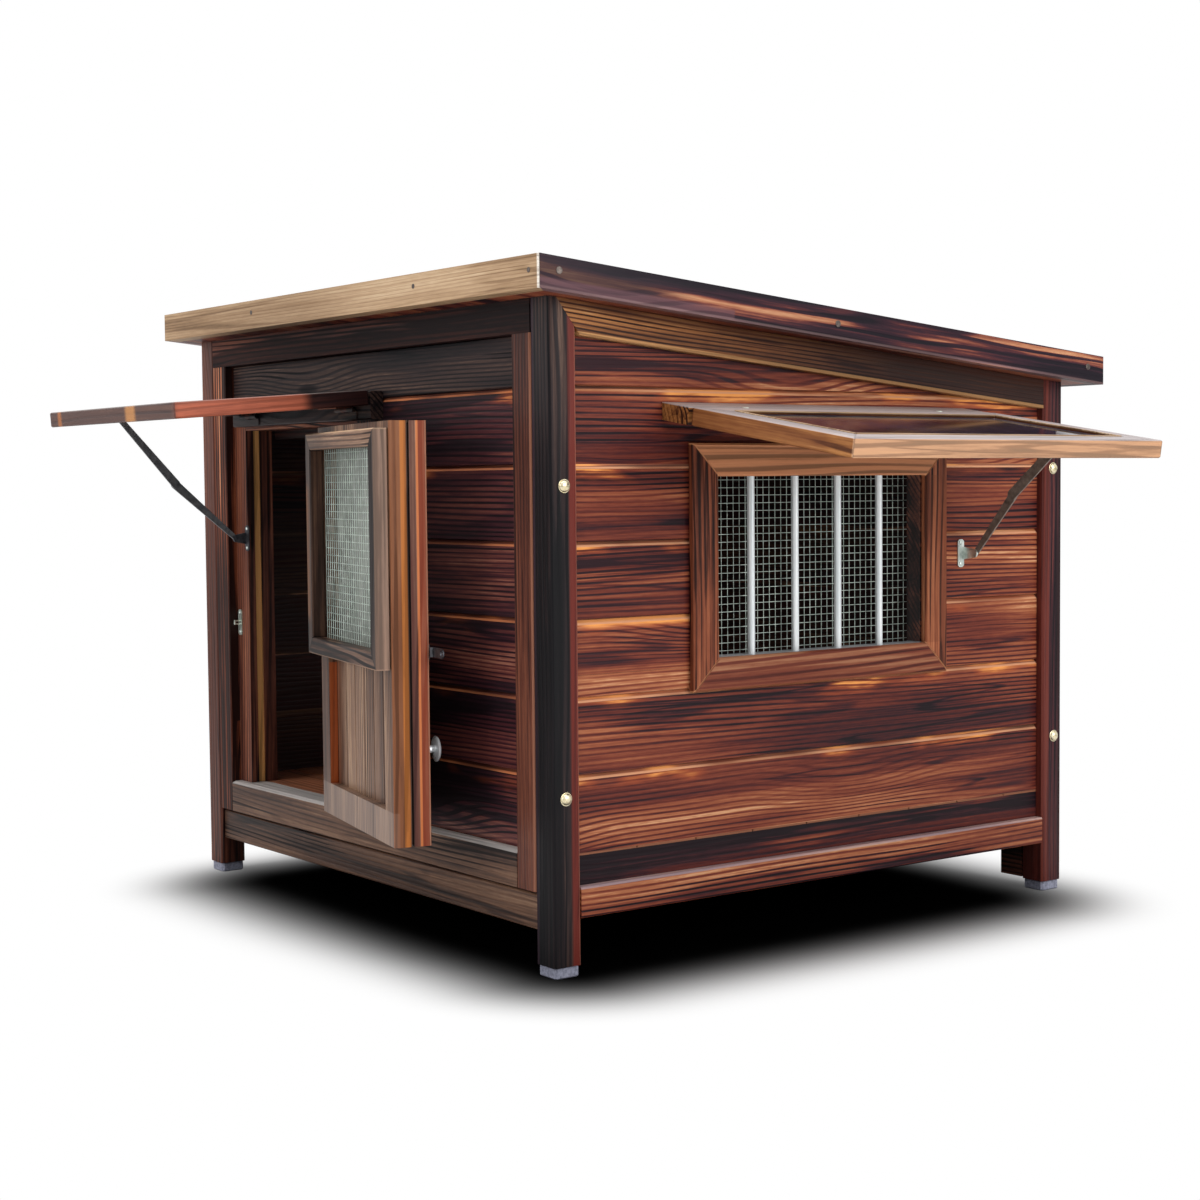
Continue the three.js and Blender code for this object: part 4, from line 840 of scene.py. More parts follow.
# %% Finish the window trim
TRIM_WIDTH = 0.042
trim_low, trim_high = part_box("window_trim")
window_middle = (trim_low + trim_high) / 2
window_half = (trim_high - trim_low) / 2 - Vector((TRIM_WIDTH, TRIM_WIDTH, TRIM_WIDTH))
window_frame = ((window_middle.y, window_middle.z, 0.0), (window_half.y, window_half.z, 0.0))
inner_low, inner_high = window_middle - window_half, window_middle + window_half
upright_strips = (inner_low.z, inner_high.z)
trim_marks = [
    # The first two marks are painted highlights on the bottom and top edges.
    mark(rgb(206, 140, 92), 0.6, 0.0006, z=(trim_low.z - 0.01, trim_low.z + 0.002)),
    mark(rgb(206, 140, 92), 0.5, 0.0006, z=(trim_high.z - 0.0024, BEYOND)),
    mark(rgb(196, 130, 88), 0.6, 0.0006, y=(inner_low.y - 0.0022, inner_low.y + 0.001), z=upright_strips),
    mark(rgb(110, 58, 36), 0.35, 0.001, y=(inner_high.y, trim_high.y), z=upright_strips),
    mark(rgb(226, 158, 112), 0.5, 0.001, True, z=(inner_high.z - 0.01, BEYOND)),
    mark(rgb(84, 28, 26), 0.6, 0.001, True, z=(-BEYOND, inner_low.z + 0.01)),
]
trim_joint = rgb(204, 142, 100)
on_trim = {"frame_of": window_frame, "marks": trim_marks, "joint_tint": trim_joint}
paint(wooden("window_trim_wood", "trim", "yzx", -0.05, (5, 3, 9), 110, 1.3, 0.35, **on_trim), "window_trim")
print("The trim is", round((trim_high - trim_low).y, 3), "by", round((trim_high - trim_low).z, 3))

# %% [markdown]
# ## Flap over the window
#
# Each sash is a mitred frame in its own tilted plane. Its top face is oiled and gets a painted grey sheen
# where it faces the sky, while its edges show warm golden wood. The positions in the marks are counted
# from the pin, along the sash.

# %% Finish the flap over the window
# Painted sheen: the top faces of the sash and its batten are painted grey where they face the sky.
SKY_SHEEN_GREY = rgb(186, 182, 184)
side_frame = ((0.0, 0.1465, 0.0), (0.228, 0.105, 0.0))
side_marks = [
    mark(rgb(232, 184, 146), 0.55, 0.0006, x=(0.2885, 0.4), z=(-0.01, 0.0262)),
    mark(SKY_SHEEN_GREY, 0.75, z=(0.0262, 0.05)),
    mark(rgb(96, 50, 34), 0.4, 0.01, x=(0.0, 0.25), z=(0.0, 0.0255)),
]
on_side_sash = {"frame_of": side_frame, "marks": side_marks, **on_side_flap}
paint(wooden("side_sash_wood", "gold", "yxz", -0.05, (2, 9, 5), **on_side_sash), "side_flap_frame")
batten_top = [mark(SKY_SHEEN_GREY, 0.7, z=(0.0254, 0.05))]
side_batten = wooden("side_batten_wood", "gold", "yxz", 0.05, (7, 4, 1), marks=batten_top, **on_side_flap)
paint(side_batten, "side_flap_batten")
print("The flap over the window is finished.")

# %% [markdown]
# ## Flap over the door
#
# This sash is made of odd lengths. The side rail is red brown and gets black towards the hinge. The
# outer rail is charcoal grey, with two golden blotches where the fire was held off.

# %% Finish the flap over the door
front_frame = ((0.0, -0.1395, 0.0), (0.1675, 0.104, 0.0))
right_rail, outer_rail = (0.2, 0.3), (-0.4, -0.2795)
front_marks = [
    mark(rgb(206, 112, 84), 0.8, 0.01, x=right_rail, y=(-0.283, -0.09)),
    mark(rgb(34, 20, 24), 0.75, 0.02, x=right_rail, y=(-0.09, 0.1)),
    mark(rgb(76, 62, 60), 0.8, 0.0006, y=outer_rail),
    mark(rgb(214, 150, 88), 0.8, 0.006, y=outer_rail, x=(0.055, 0.085)),
    mark(rgb(190, 116, 62), 0.7, 0.004, y=outer_rail, x=(-0.178, -0.166)),
    # Painted sheen: the top face is painted grey where it faces the sky, as on the window's flap.
    mark(rgb(150, 140, 136), 0.5, z=(0.0242, 0.05)),
]
on_front_sash = {"frame_of": front_frame, "marks": front_marks, **on_front_flap}
paint(wooden("front_sash_wood", "brown", "xyz", 0.05, (7, 2, 8), **on_front_sash), "front_flap_frame")
paint(wooden("front_batten_wood", "black", "xzy", 0.1, (4, 9, 1)), "front_flap_batten")
print("The flap over the door is finished.")

# %% [markdown]
# ## Screen frame of the door
#
# A frame with a net is planted on the room side of the leaf. Places are those in the closed door,
# counted from the pin: x is negative towards the free edge, and y runs from the street to the room.

# %% Finish the screen frame
LEAF_EDGE = -0.3324
screen_frame = ((-0.16696, 0.5215, 0.0), (0.13846, 0.1275, 0.0))
screen_marks = [
    mark(rgb(176, 142, 118), 0.7, 0.0006, z=(0.3, 0.3736)),
    mark(rgb(214, 180, 146), 0.6, 0.0006, z=(0.6694, 0.7)),
    mark(rgb(176, 146, 128), 0.5, 0.0006, x=(-0.34, LEAF_EDGE + 0.0066)),
    mark(rgb(166, 104, 56), 0.5, 0.01, x=(-0.02, 0.01), z=(0.42, 0.6)),
]
on_screen = {"frame_of": screen_frame, "marks": screen_marks, **on_door}
paint(wooden("door_screen_wood", "grey", "xzy", 0.25, (9, 1, 4), 130, **on_screen), "door_screen_frame")
print(len(materials_made), "wooden materials so far")

# %% [markdown]
# ## Leaf of the door
#
# The leaf has two layers with a dark joint between them. Its free edge is cut across both, and shows
# them as stripes from golden to dark red. Each stripe is a band of the leaf's thickness, kept to the free
# edge. Two more marks lighten the foot of the leaf and redden a strip beside the hinges.

# %% Finish the leaf
free_edge = (LEAF_EDGE - 0.01, LEAF_EDGE + 0.004)
edge_stripes = [
    mark(rgb(186, 110, 46), 0.85, 0.0012, x=free_edge, y=(0.031, 0.039)),
    mark(rgb(134, 80, 48), 0.7, 0.0006, x=free_edge, y=(0.039, 0.06)),
    mark(rgb(20, 8, 6), 0.95, 0.0004, x=free_edge, y=(0.0266, 0.0298)),
    mark(rgb(92, 50, 44), 0.8, 0.0006, x=free_edge, y=(0.019, 0.0266)),
    mark(rgb(204, 116, 66), 0.9, 0.0006, x=free_edge, y=(0.0152, 0.0184)),
    mark(rgb(132, 54, 30), 0.85, 0.0006, x=free_edge, y=(0.0065, 0.0152)),
    mark(rgb(200, 132, 104), 0.8, 0.0006, x=free_edge, y=(0.0, 0.0058)),
]
foot_board = mark(rgb(150, 132, 122), 0.45, 0.001, y=(0.045, 0.06), z=(0.1, 0.194))
hinge_strip = mark(rgb(170, 80, 34), 0.75, 0.001, y=(0.0408, 0.0515), z=(0.194, 0.36), x=(-0.05, 0.0))
leaf_marks = [foot_board, hinge_strip, *edge_stripes]
leaf = wooden("door_leaf_wood", "grey", "zxy", -0.2, (3, 3, 6), 150, marks=leaf_marks, **on_door)
paint(leaf, "door_leaf")
print(len(materials_made), "wooden materials in all")

# %% [markdown]
# ## Metals
#
# Zinc plate is cloudy and catches the light softly. The links of the stays are plain steel that has
# dulled to a blue-grey. A slow noise makes the clouds, and a fine one the small scratches, which also
# change the gloss. A Metallic of one would reflect only the white studio, so the dull metals stay
# well below it.


# %% Write the function for metals
def metallic(name, light, dark, gloss, cloud, scratch=40, metal=0.9):
    material, tree, shader = new_material(name)
    position = place_on(tree)
    clouds = noise(tree, position, cloud, 3.0, 0.6)
    scratches = noise(tree, stretch(tree, position, (scratch, scratch, scratch)), 1.0, 4.0, 0.7)
    mixed = calculate(tree, "MULTIPLY_ADD", clouds, 0.7, calculate(tree, "MULTIPLY", scratches, 0.3))
    tree.links.new(ramp(tree, mixed, [(0.3, dark), (0.7, light)]), shader.inputs["Base Color"])
    rough = remap(tree, scratches, 0.3, 0.7, gloss, gloss + 0.15)
    tree.links.new(rough, shader.inputs["Roughness"])
    shader.inputs["Metallic"].default_value = metal
    raise_relief(tree, shader, scratches, 0.15, 0.0002)
    materials_made.append(name)
    return material


print("The metal function is ready.")

# %% Finish the metal pieces
FINE_SCRATCHES = 300
zinc = metallic("zinc_plate", rgb(226, 232, 226), rgb(158, 170, 164), 0.28, 120)
pale_zinc = metallic("pale_zinc", rgb(240, 246, 236), rgb(190, 204, 190), 0.3, 140)
dull_steel = metallic("stay_steel", rgb(132, 132, 134), rgb(70, 72, 76), 0.36, 90, FINE_SCRATCHES, 0.55)
brown_steel = metallic("brown_steel", rgb(150, 134, 120), rgb(84, 74, 68), 0.4, 90, FINE_SCRATCHES, 0.5)
dark_steel = metallic("dark_plate", rgb(92, 92, 96), rgb(46, 46, 50), 0.4, 120)
paint(zinc, "side_flap_stay_bracket")
paint(pale_zinc, "hasp_keeper")
paint(dark_steel, "front_flap_stay_bracket", "hasp_base", "hasp_strap")
paint(brown_steel, "side_flap_stay_lower", "side_flap_stay_upper")
paint(dull_steel, "front_flap_stay_lower", "front_flap_stay_upper")
paint(dull_steel, "door_hinge_lower", "door_hinge_upper")
print("Zinc, pale zinc, and dull, brown and dark steel are on their pieces.")

# %% [markdown]
# ## Bars in their wooden lining
#
# The bars and the lining they stand in are one solid. Two materials on its faces would need to know
# which face is which, so one material does both: it finds the nearest bar and measures the distance to
# its axis. Closer than the bar's radius it is bright metal, and wood everywhere else. The top of the
# lining's sill gets a thin painted highlight.

# %% Measure how far the surface is from the nearest bar
BAR_PITCH, BAR_REACH, BARS_BEHIND_TRIM = 0.0765, 0.0054, 0.021
LAST_BAR = 3
SILL_LINE = (0.3766, 0.3776)
material, tree, shader = new_material("bars_in_lining")
position = place_on(tree)
xyz = split(tree, position)
first_bar = window_middle.y - LAST_BAR / 2 * BAR_PITCH
bar_x = trim_high.x - BARS_BEHIND_TRIM
steps = calculate(tree, "DIVIDE", calculate(tree, "SUBTRACT", xyz[1], first_bar), BAR_PITCH)
nearest = calculate(tree, "MAXIMUM", calculate(tree, "ROUND", steps), 0)
nearest = calculate(tree, "MINIMUM", nearest, LAST_BAR)
off_y = calculate(tree, "MULTIPLY", calculate(tree, "SUBTRACT", steps, nearest), BAR_PITCH)
off_x = calculate(tree, "SUBTRACT", xyz[0], bar_x)
is_bar = calculate(tree, "LESS_THAN", length(tree, gather(tree, off_x, off_y)), BAR_REACH)
print("There are", LAST_BAR + 1, "bars,", BAR_PITCH, "apart.")

# %% Finish the window bars and their lining
wanted = {"Grain": reorder(tree, position, "yxz"), "Burn": 0.2, "Rings": 150, "Contrast": 1.0, "Patches": 0.4}
pattern = add(tree, "ShaderNodeGroup", wanted, node_tree=scorched_grain).outputs
lining = ramp(tree, pattern["Light"], finishes["brown"])
# Painted highlight: a thin pale line on the top of the lining's sill.
sill = band(tree, position, "z", *SILL_LINE)
lining = blend(tree, calculate(tree, "MULTIPLY", sill, 0.85), lining, rgb(190, 194, 198))
cloud = noise(tree, stretch(tree, position, (200, 200, 9)), 1.0, 3.0)
bar_colour = ramp(tree, cloud, [(0.3, rgb(206, 214, 216)), (0.7, rgb(244, 246, 246))])
tree.links.new(blend(tree, is_bar, lining, bar_colour), shader.inputs["Base Color"])
tree.links.new(calculate(tree, "MULTIPLY", is_bar, 0.3), shader.inputs["Metallic"])
tree.links.new(remap(tree, is_bar, 0.0, 1.0, 0.45, 0.3), shader.inputs["Roughness"])
materials_made.append(material.name)
paint(material, "window_bars")
print("Bright bars in a brown lining")

# %% [markdown]
# ## Feet and panes
#
# The feet are moulded in grey plastic with a fine speckle. The panes of the flaps are nearly black with
# a blue sheen, and the pane of the door is milky. Clear glass would show too much of what lies behind
# it, so each pane is a dark or pale surface that its Alpha makes partly clear, smeared as by rain.


# %% Finish the feet and the panes
material, tree, shader = new_material("foot_plastic")
mottle = noise(tree, place_on(tree), 260, 3.0, 0.6)
foot_colour = ramp(tree, mottle, [(0.3, rgb(112, 114, 130)), (0.7, rgb(168, 170, 190))])
tree.links.new(foot_colour, shader.inputs["Base Color"])
raise_relief(tree, shader, mottle, 0.2, 0.0003)
shader.inputs["Roughness"].default_value = 0.55
paint(material, "foot_front_left", "foot_front_right", "foot_back_left", "foot_back_right")


def glazing(name, dark, light, clear):
    material, tree, shader = new_material(name)
    smears = noise(tree, stretch(tree, place_on(tree), (9, 9, 3)), 1.0, 4.0, 0.6)
    tree.links.new(ramp(tree, smears, [(0.3, dark), (0.75, light)]), shader.inputs["Base Color"])
    tree.links.new(remap(tree, smears, 0.3, 0.8, 0.05, 0.14), shader.inputs["Roughness"])
    tree.links.new(remap(tree, smears, 0.3, 0.8, clear, clear + 0.1), shader.inputs["Alpha"])
    shader.inputs["Specular IOR Level"].default_value = 0.3
    return material


paint(glazing("flap_pane", rgb(8, 8, 26), rgb(30, 30, 58), 0.95), "side_flap_pane", "front_flap_pane")
paint(glazing("door_pane", rgb(150, 156, 150), rgb(206, 208, 200), 0.55), "door_pane")
print("Feet and panes are finished.")

# %% [markdown]
# ## Pieces too fine for the solids
#
# The next cells model the fine wire nets, bolts, screws, nails and rivets. Each starts as one of
# Blender's primitives at its real size and place. Modifiers repeat or round it, and are then applied. At
# the end its turn and place are applied to its mesh, and it is told which body it moves with.


# %% Write the modelling helpers
def deselect():
    bpy.ops.object.select_all(action="DESELECT")


def apply_place():
    bpy.ops.object.transform_apply(location=True, rotation=True, scale=True)


def keep(name, body, material):
    piece = bpy.context.object
    piece.name = name
    apply_place()
    piece.data.materials.clear()
    piece.data.materials.append(material)
    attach(piece, body)
    return piece


def repeat(piece, count, step):
    bpy.context.view_layer.objects.active = piece
    array = piece.modifiers.new("repeat", "ARRAY")
    array.use_relative_offset = False
    array.use_constant_offset = True
    array.count = count
    array.constant_offset_displace = step
    bpy.ops.object.modifier_apply(modifier=array.name)


def round_edges(piece, width):
    bevel = piece.modifiers.new("edge", "BEVEL")
    bevel.width = width
    bevel.segments = 2
    bpy.ops.object.modifier_apply(modifier=bevel.name)


def join(*parts):
    deselect()
    for part in parts:
        part.select_set(True)
    bpy.context.view_layer.objects.active = parts[0]
    bpy.ops.object.join()
    return bpy.context.object


print("Modelling helpers are ready.")

# %% [markdown]
# ## The net of the window
#
# The nets are welded from 1 mm wire, with about 10 mm from wire to wire. A picture of a net would look
# flat from the side, so every wire is modelled. One upright and one level wire are made, an array
# repeats each, and the level wires lie just behind the upright ones, as in a welded net. Six sides are
# enough for so thin a wire.

# %% Weave the net of the window
WIRE_RADIUS = 0.0005
LAYER_STEP = 0.0009


def wire(size, middle, turn):
    deselect()
    bpy.ops.mesh.primitive_cylinder_add(
        vertices=6, radius=WIRE_RADIUS, depth=size, location=middle, rotation=turn
    )
    apply_place()
    return bpy.context.object


low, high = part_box("window_mesh")
net_x = low.x + 0.0016
size_y, size_z = high.y - low.y, high.z - low.z
middle_y, middle_z = (low.y + high.y) / 2, (low.z + high.z) / 2
columns, rows = 38, 25
upright = wire(size_z, (net_x, low.y + WIRE_RADIUS, middle_z), (0, 0, 0))
repeat(upright, columns, (0, (size_y - 2 * WIRE_RADIUS) / (columns - 1), 0))
level = wire(size_y, (net_x + LAYER_STEP, middle_y, low.z + WIRE_RADIUS), (math.pi / 2, 0, 0))
repeat(level, rows, (0, 0, (size_z - 2 * WIRE_RADIUS) / (rows - 1)))
join(upright, level)
net_metal = metallic("net_wire", rgb(206, 216, 208), rgb(140, 152, 144), 0.4, 80)
window_net = keep("window_net", "cabin", net_metal)
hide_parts("window_mesh")
print("The window net has", columns, "by", rows, "wires.")

# %% [markdown]
# ## The net of the door
#
# The door stands open, so its net is made along X, as in a closed door, and then turned with the door
# about the pin. That is simpler than finding each wire's place on the turned door.

# %% Weave the net of the door
# Positions in the closed door, as for the leaf.
NET_LEFT, NET_RIGHT, NET_DEPTH = -0.3114, -0.0305, 0.0507
low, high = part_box("door_mesh")
size_x, size_z = NET_RIGHT - NET_LEFT, high.z - low.z
middle_x, middle_z = (NET_LEFT + NET_RIGHT) / 2, (low.z + high.z) / 2
bottom = middle_z - size_z / 2 + WIRE_RADIUS
columns, rows = 29, 28
upright = wire(size_z, (NET_LEFT + WIRE_RADIUS, NET_DEPTH, middle_z), (0, 0, 0))
repeat(upright, columns, ((size_x - 2 * WIRE_RADIUS) / (columns - 1), 0, 0))
level = wire(size_x, (middle_x, NET_DEPTH - LAYER_STEP, bottom), (0, math.pi / 2, 0))
repeat(level, rows, (0, 0, (size_z - 2 * WIRE_RADIUS) / (rows - 1)))
net = join(upright, level)
net.rotation_euler = (0, 0, door_opened)
net.location = door_pin
door_net = keep("door_net", "door", net_metal)
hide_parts("door_mesh")
print("The door net has", columns, "by", rows, "wires.")

# %% [markdown]
# ## Coach bolts
#
# Coach bolts with domed heads hold the side walls to the posts. Only the head and its washer show, so
# the shank is left out. A dome is the outer cap of a sphere, cut with a plane in edit mode and
# flattened. The washer is a thin disc with a rounded edge. The sizes of discs and domes are given as
# their radius and their thickness or height.


# %% Turn the domed bolts
def dome(radius, height, place, turn):
    deselect()
    bpy.ops.mesh.primitive_uv_sphere_add(segments=20, ring_count=12, radius=radius)
    bpy.ops.object.mode_set(mode="EDIT")
    bpy.ops.mesh.select_all(action="SELECT")
    bpy.ops.mesh.bisect(plane_co=(0, 0, 0), plane_no=(0, 0, 1), use_fill=True, clear_inner=True)
    bpy.ops.object.mode_set(mode="OBJECT")
    cap = bpy.context.object
    cap.scale = (1, 1, height / radius)
    cap.rotation_euler = turn
    cap.location = place
    apply_place()
    bpy.ops.object.shade_smooth_by_angle(angle=math.radians(40))
    return cap


def washer(radius, thickness, place, turn):
    deselect()
    bpy.ops.mesh.primitive_cylinder_add(
        vertices=24, radius=radius, depth=thickness, location=place, rotation=turn
    )
    apply_place()
    ring = bpy.context.object
    round_edges(ring, thickness * 0.4)
    return ring


FACING_X = (0, math.pi / 2, 0)
FACING_FRONT = (math.pi / 2, 0, 0)
brassy = metallic("bolt_brass", rgb(240, 232, 204), rgb(196, 180, 138), 0.2, 150)
BOLT_WASHER, BOLT_HEAD = (0.0085, 0.001), (0.0075, 0.0042)
WASHER_OUT, HEAD_OUT = Vector((0.0005, 0, 0)), Vector((0.0009, 0, 0))
# Each place is counted along the wall from the cabin's middle, and up from the ground.
bolt_places = [(-0.435, 0.5976), (-0.4365, 0.2194), (0.435, 0.6165), (0.438, 0.2267)]
for number, (along, above) in enumerate(bolt_places, 1):
    place = Vector((near_high.x, along + cabin_middle.y, above))
    plate = washer(*BOLT_WASHER, place + WASHER_OUT, FACING_X)
    head = dome(*BOLT_HEAD, place + HEAD_OUT, FACING_X)
    join(plate, head)
    keep(f"coach_bolt_{number}", "cabin", brassy)
print(len(bolt_places), "coach bolts")

# %% [markdown]
# ## Door knob
#
# A small rose lies against the leaf, and a neck carries the flat round head. It could be one profile
# spun about its axis, but its parts are plain discs and domes, and those are at hand already. The knob
# is made in front of the closed door and then swings open with it.

# %% Turn the door knob
ROSE, NECK = (0.011, 0.003), (0.005, 0.012)
KNOB_RADIUS, BACK_DOME, FRONT_DOME = 0.0165, 0.0035, 0.005
ROSE_OUT, NECK_OUT, KNOB_OUT = 0.0015, 0.0085, 0.0165
knob_x, knob_z, knob_face = LEAF_EDGE + 0.03, 0.268, 0.004
head_place = (knob_x, knob_face - KNOB_OUT, knob_z)
rose = washer(*ROSE, (knob_x, knob_face - ROSE_OUT, knob_z), FACING_FRONT)
neck = washer(*NECK, (knob_x, knob_face - NECK_OUT, knob_z), FACING_FRONT)
head_back = dome(KNOB_RADIUS, BACK_DOME, head_place, (-math.pi / 2, 0, 0))
head_front = dome(KNOB_RADIUS, FRONT_DOME, head_place, FACING_FRONT)
knob = join(rose, neck, head_back, head_front)
knob.rotation_euler = (0, 0, door_opened)
knob.location = door_pin
polished = metallic("knob_chrome", rgb(240, 242, 244), rgb(206, 210, 214), 0.22, 50, metal=0.45)
knob = keep("round_knob", "door", polished)
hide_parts("door_knob")
print("The knob's head is", round(2000 * KNOB_RADIUS), "mm across.")

# %% [markdown]
# ## Nails and screws of the fascias
#
# Three nails hold the front fascia and three screws the right one. Only their heads show, as small
# flat discs that are let into the wood by a hair's breadth and stand just proud of it.

# %% Drive the nails and screws of the fascias
nail_steel = metallic("nail_heads", rgb(120, 110, 104), rgb(60, 52, 50), 0.4, 200)
NAIL_HEAD, SCREW_HEAD, HEADS_OUT = (0.0032, 0.0008), (0.0045, 0.001), 0.0003
front_face_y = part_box("front_fascia")[0].y - HEADS_OUT
nails = [(-0.217, 0.851), (0.231, 0.852), (0.489, 0.85)]
for number, (along, above) in enumerate(nails, 1):
    washer(*NAIL_HEAD, (along + cabin_middle.x, front_face_y, above), FACING_FRONT)
    keep(f"fascia_nail_{number}", "cabin", nail_steel)
side_face_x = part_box("right_fascia")[1].x + HEADS_OUT
screws = [(-0.468, 0.849), (-0.026, 0.804), (0.462, 0.7615)]
for number, (along, above) in enumerate(screws, 1):
    washer(*SCREW_HEAD, (side_face_x, along + cabin_middle.y, above), FACING_X)
    keep(f"fascia_screw_{number}", "cabin", nail_steel)
print(len(nails), "nails and", len(screws), "screws")

# %% [markdown]
# ## Screws of the brackets and the staple plate
#
# Each stay bracket and the staple plate is held by two screws, one above the other, the same distance
# apart. Their heads are low domes. A pair is one piece, because the two never part.

# %% Screw on the brackets and the staple plate
PLATE = 0.0017
SCREW_DOME = (0.0026, 0.0012)
HALF_APART = 0.0145
side_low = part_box("side_flap_stay_bracket")[0]
front_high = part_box("front_flap_stay_bracket")[1]
staple_low, staple_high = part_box("hasp_keeper")
staple_middle = (staple_low + staple_high) / 2
side_place = (side_low.x + PLATE, side_low.y + 0.005, side_low.z + 0.0195)
front_place = (front_high.x - 0.006, front_high.y - PLATE, front_high.z - 0.0195)
staple_place = (staple_middle.x, staple_high.y - PLATE, staple_middle.z)
screw_pairs = {
    "side_bracket": (side_place, FACING_X),
    "front_bracket": (front_place, FACING_FRONT),
    "staple_plate": (staple_place, FACING_FRONT),
}
for label, ((x, y, z), turn) in screw_pairs.items():
    lower = dome(*SCREW_DOME, (x, y, z - HALF_APART), turn)
    upper = dome(*SCREW_DOME, (x, y, z + HALF_APART), turn)
    join(lower, upper)
    keep(f"{label}_screws", "cabin", zinc)
print(len(screw_pairs), "pairs of screws")

# %% [markdown]
# ## The last rivet and screws
#
# The lower link of the front stay has one more rivet at its elbow, which turns with the link. Two screws
# go down through the batten over the window. The batten is tilted, so their places are turned about its
# pin first.

# %% Set the rivet and drive the screws of the batten
RIVET_HEAD, BATTEN_HEAD = (0.0032, 0.0008), (0.0045, 0.0012)
ELBOW_Y, ELBOW_Z = -0.4288, 0.6047
link_face = pins["front_stay_lower_turn"].x - 0.0016
washer(*RIVET_HEAD, (link_face, ELBOW_Y, ELBOW_Z), FACING_X)
keep("stay_rivet", "front_stay_lower", zinc)
BATTEN_SCREW = 0.172
batten_turn = Matrix.Rotation(side_tilt, 3, "Y")
for number, along in enumerate((-BATTEN_SCREW, BATTEN_SCREW), 1):
    place = pins["side_flap_swing"] + batten_turn @ Vector((-0.01, along, 0.0264))
    washer(*BATTEN_HEAD, place, (0, side_tilt, 0))
    keep(f"batten_screw_{number}", "cabin", pale_zinc)
print("One rivet in the front stay, and two screws in the batten")

# %% [markdown]
# ## Glazing beads
#
# Four thin wooden strips cover the edge of the pane over the window. They are made flat about the pin,
# rounded along their edges, and then tilted with the sash.

# %% Lay the glazing beads
BEAD_WIDTH, BEAD_THICKNESS = 0.004, 0.0016
bead_middle, bead_half = Vector((0.1465, 0, 0.0275)), Vector((0.107, 0.230, 0))
along_x = (2 * bead_half.x, BEAD_WIDTH, BEAD_THICKNESS)
along_y = (BEAD_WIDTH, 2 * bead_half.y, BEAD_THICKNESS)
strips = []
for sign in (-1, 1):
    beside = Vector((0, sign * bead_half.y, 0))
    beyond = Vector((sign * bead_half.x, 0, 0))
    for strip_size, off_middle in ((along_x, beside), (along_y, beyond)):
        deselect()
        bpy.ops.mesh.primitive_cube_add(size=1, location=bead_middle + off_middle, scale=strip_size)
        apply_place()
        strips.append(bpy.context.object)
        round_edges(strips[-1], 0.0004)
beads = join(*strips)
beads.rotation_euler = (0, side_tilt, 0)
beads.location = pins["side_flap_swing"]
bead_wood = wooden("bead_wood", "pale", "yxz", -0.2, (3, 3, 3), 200, 0.4)
keep("side_flap_beads", "side_flap", bead_wood)
print(len(strips), "beads lie round the pane over the window.")

# %% [markdown]
# ## Floor
#
# The house stands on a white floor. Near the house the floor is a real surface that takes its shadow,
# and on top of that its colour is painted darker towards the middle of the house, down to black: a
# painted shadow. Further out it turns into plain white, so that floor and background meet without a
# horizon. A very large lit floor would do it too, but it would throw light up at the house. The power
# makes both changes look even to the eye, which sees dark steps more clearly than light ones.

# %% Add the floor and measure the way to the shadow
deselect()
bpy.ops.mesh.primitive_plane_add(size=30, location=(0, 0, 0))
floor = bpy.context.object
floor.name = "studio_floor"
material, tree, shader = new_material("studio_white")
position = place_on(tree)
SHADOW_HALF = (0.37, 0.355, 0)
shadow_middle = cabin_middle + Vector((0.072, -0.053, 0))
from_cabin = combine(tree, "ABSOLUTE", combine(tree, "SUBTRACT", position, shadow_middle))
past = combine(tree, "MAXIMUM", combine(tree, "SUBTRACT", from_cabin, SHADOW_HALF))
distance = length(tree, past)
print("The shadow is", 2 * SHADOW_HALF[0], "by", 2 * SHADOW_HALF[1], "m with soft edges outside that.")

# %% Lay the floor
SHADOW_BLACK, WHITE = (0.001, 0.001, 0.001, 1), (1, 1, 1, 1)
pale = [(0.0, (0.9, 0.9, 0.9, 1)), (1.0, (0.94, 0.94, 0.94, 1))]
paint_white = ramp(tree, noise(tree, position, 0.8, 2.0), pale)
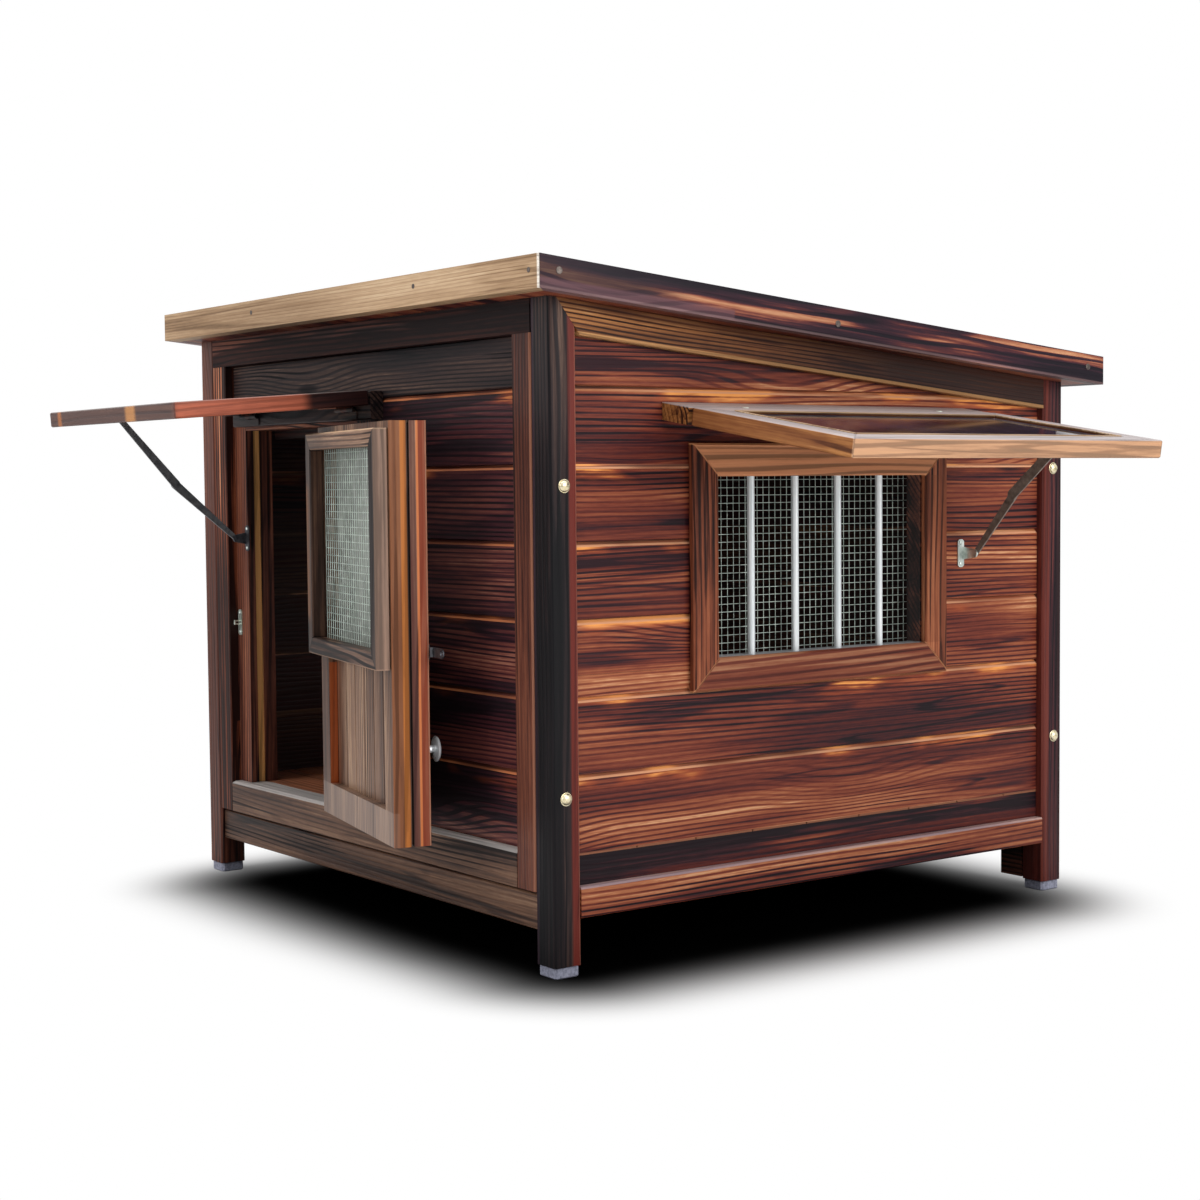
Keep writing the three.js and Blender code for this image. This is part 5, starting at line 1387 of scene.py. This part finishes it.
# Painted shadow: the floor's colour goes from black inside the shadow's box to white 0.3 m beyond it.
shade = calculate(tree, "POWER", remap(tree, distance, 0.0, 0.3), 1.8)
tree.links.new(blend(tree, shade, SHADOW_BLACK, paint_white), shader.inputs["Base Color"])
shader.inputs["Roughness"].default_value = 0.7
shader.inputs["Specular IOR Level"].default_value = 0.0
path = add(tree, "ShaderNodeLightPath").outputs
seen = calculate(tree, "MAXIMUM", path["Is Camera Ray"], path["Is Transmission Ray"])
far = calculate(tree, "MULTIPLY", calculate(tree, "POWER", remap(tree, distance, 0.02, 0.3), 2.2), seen)
white = add(tree, "ShaderNodeEmission", {"Color": WHITE, "Strength": 1.0})
mixed = add(tree, "ShaderNodeMixShader", {0: far, 1: shader.outputs[0], 2: white.outputs[0]})
tree.links.new(mixed.outputs[0], tree.nodes["Material Output"].inputs["Surface"])
floor.data.materials.append(material)
print("The floor is laid.")

# %% [markdown]
# ## Light
#
# Broad soft lamps light the house from above and from both sides of the camera, and the window wall gets
# a little more than the door wall. Small lamps would be brighter in one spot and make hard shadows. The
# world shows white to the camera and in reflections, and gives only a weak fill to the house.


# %% Hang the lamps
def lamp(name, place, target, size, power):
    aim = (Vector(target) - Vector(place)).to_track_quat("-Z", "Y").to_euler()
    bpy.ops.object.light_add(type="AREA", location=place, rotation=aim)
    light = bpy.context.object
    light.name = name
    light.data.shape = "RECTANGLE"
    light.data.size, light.data.size_y = size
    light.data.energy = power


lamp("top_softbox", (0.2, -0.4, 3.2), (0, 0, 0), (3.6, 3.6), 110)
lamp("window_side_softbox", (3.4, 0.6, 1.5), (0.2, 0.1, 0.4), (2.2, 1.8), 60)
lamp("door_side_softbox", (-0.6, -3.6, 1.5), (-0.1, -0.3, 0.4), (2.2, 1.8), 42)

# %% Whiten the world
FILL = 0.35
world = bpy.data.worlds.new("studio")
bpy.context.scene.world = world
world.use_nodes = True
tree = world.node_tree
background = tree.nodes["Background"]
path = add(tree, "ShaderNodeLightPath").outputs
seen = calculate(tree, "MAXIMUM", path["Is Camera Ray"], path["Is Glossy Ray"])
seen = calculate(tree, "MAXIMUM", seen, path["Is Transmission Ray"])
tree.links.new(remap(tree, seen, 0.0, 1.0, FILL, 1.0), background.inputs["Strength"])
background.inputs["Color"].default_value = WHITE
bpy.context.scene.view_settings.view_transform = "Standard"
print("The world is white, with a fill of", FILL)
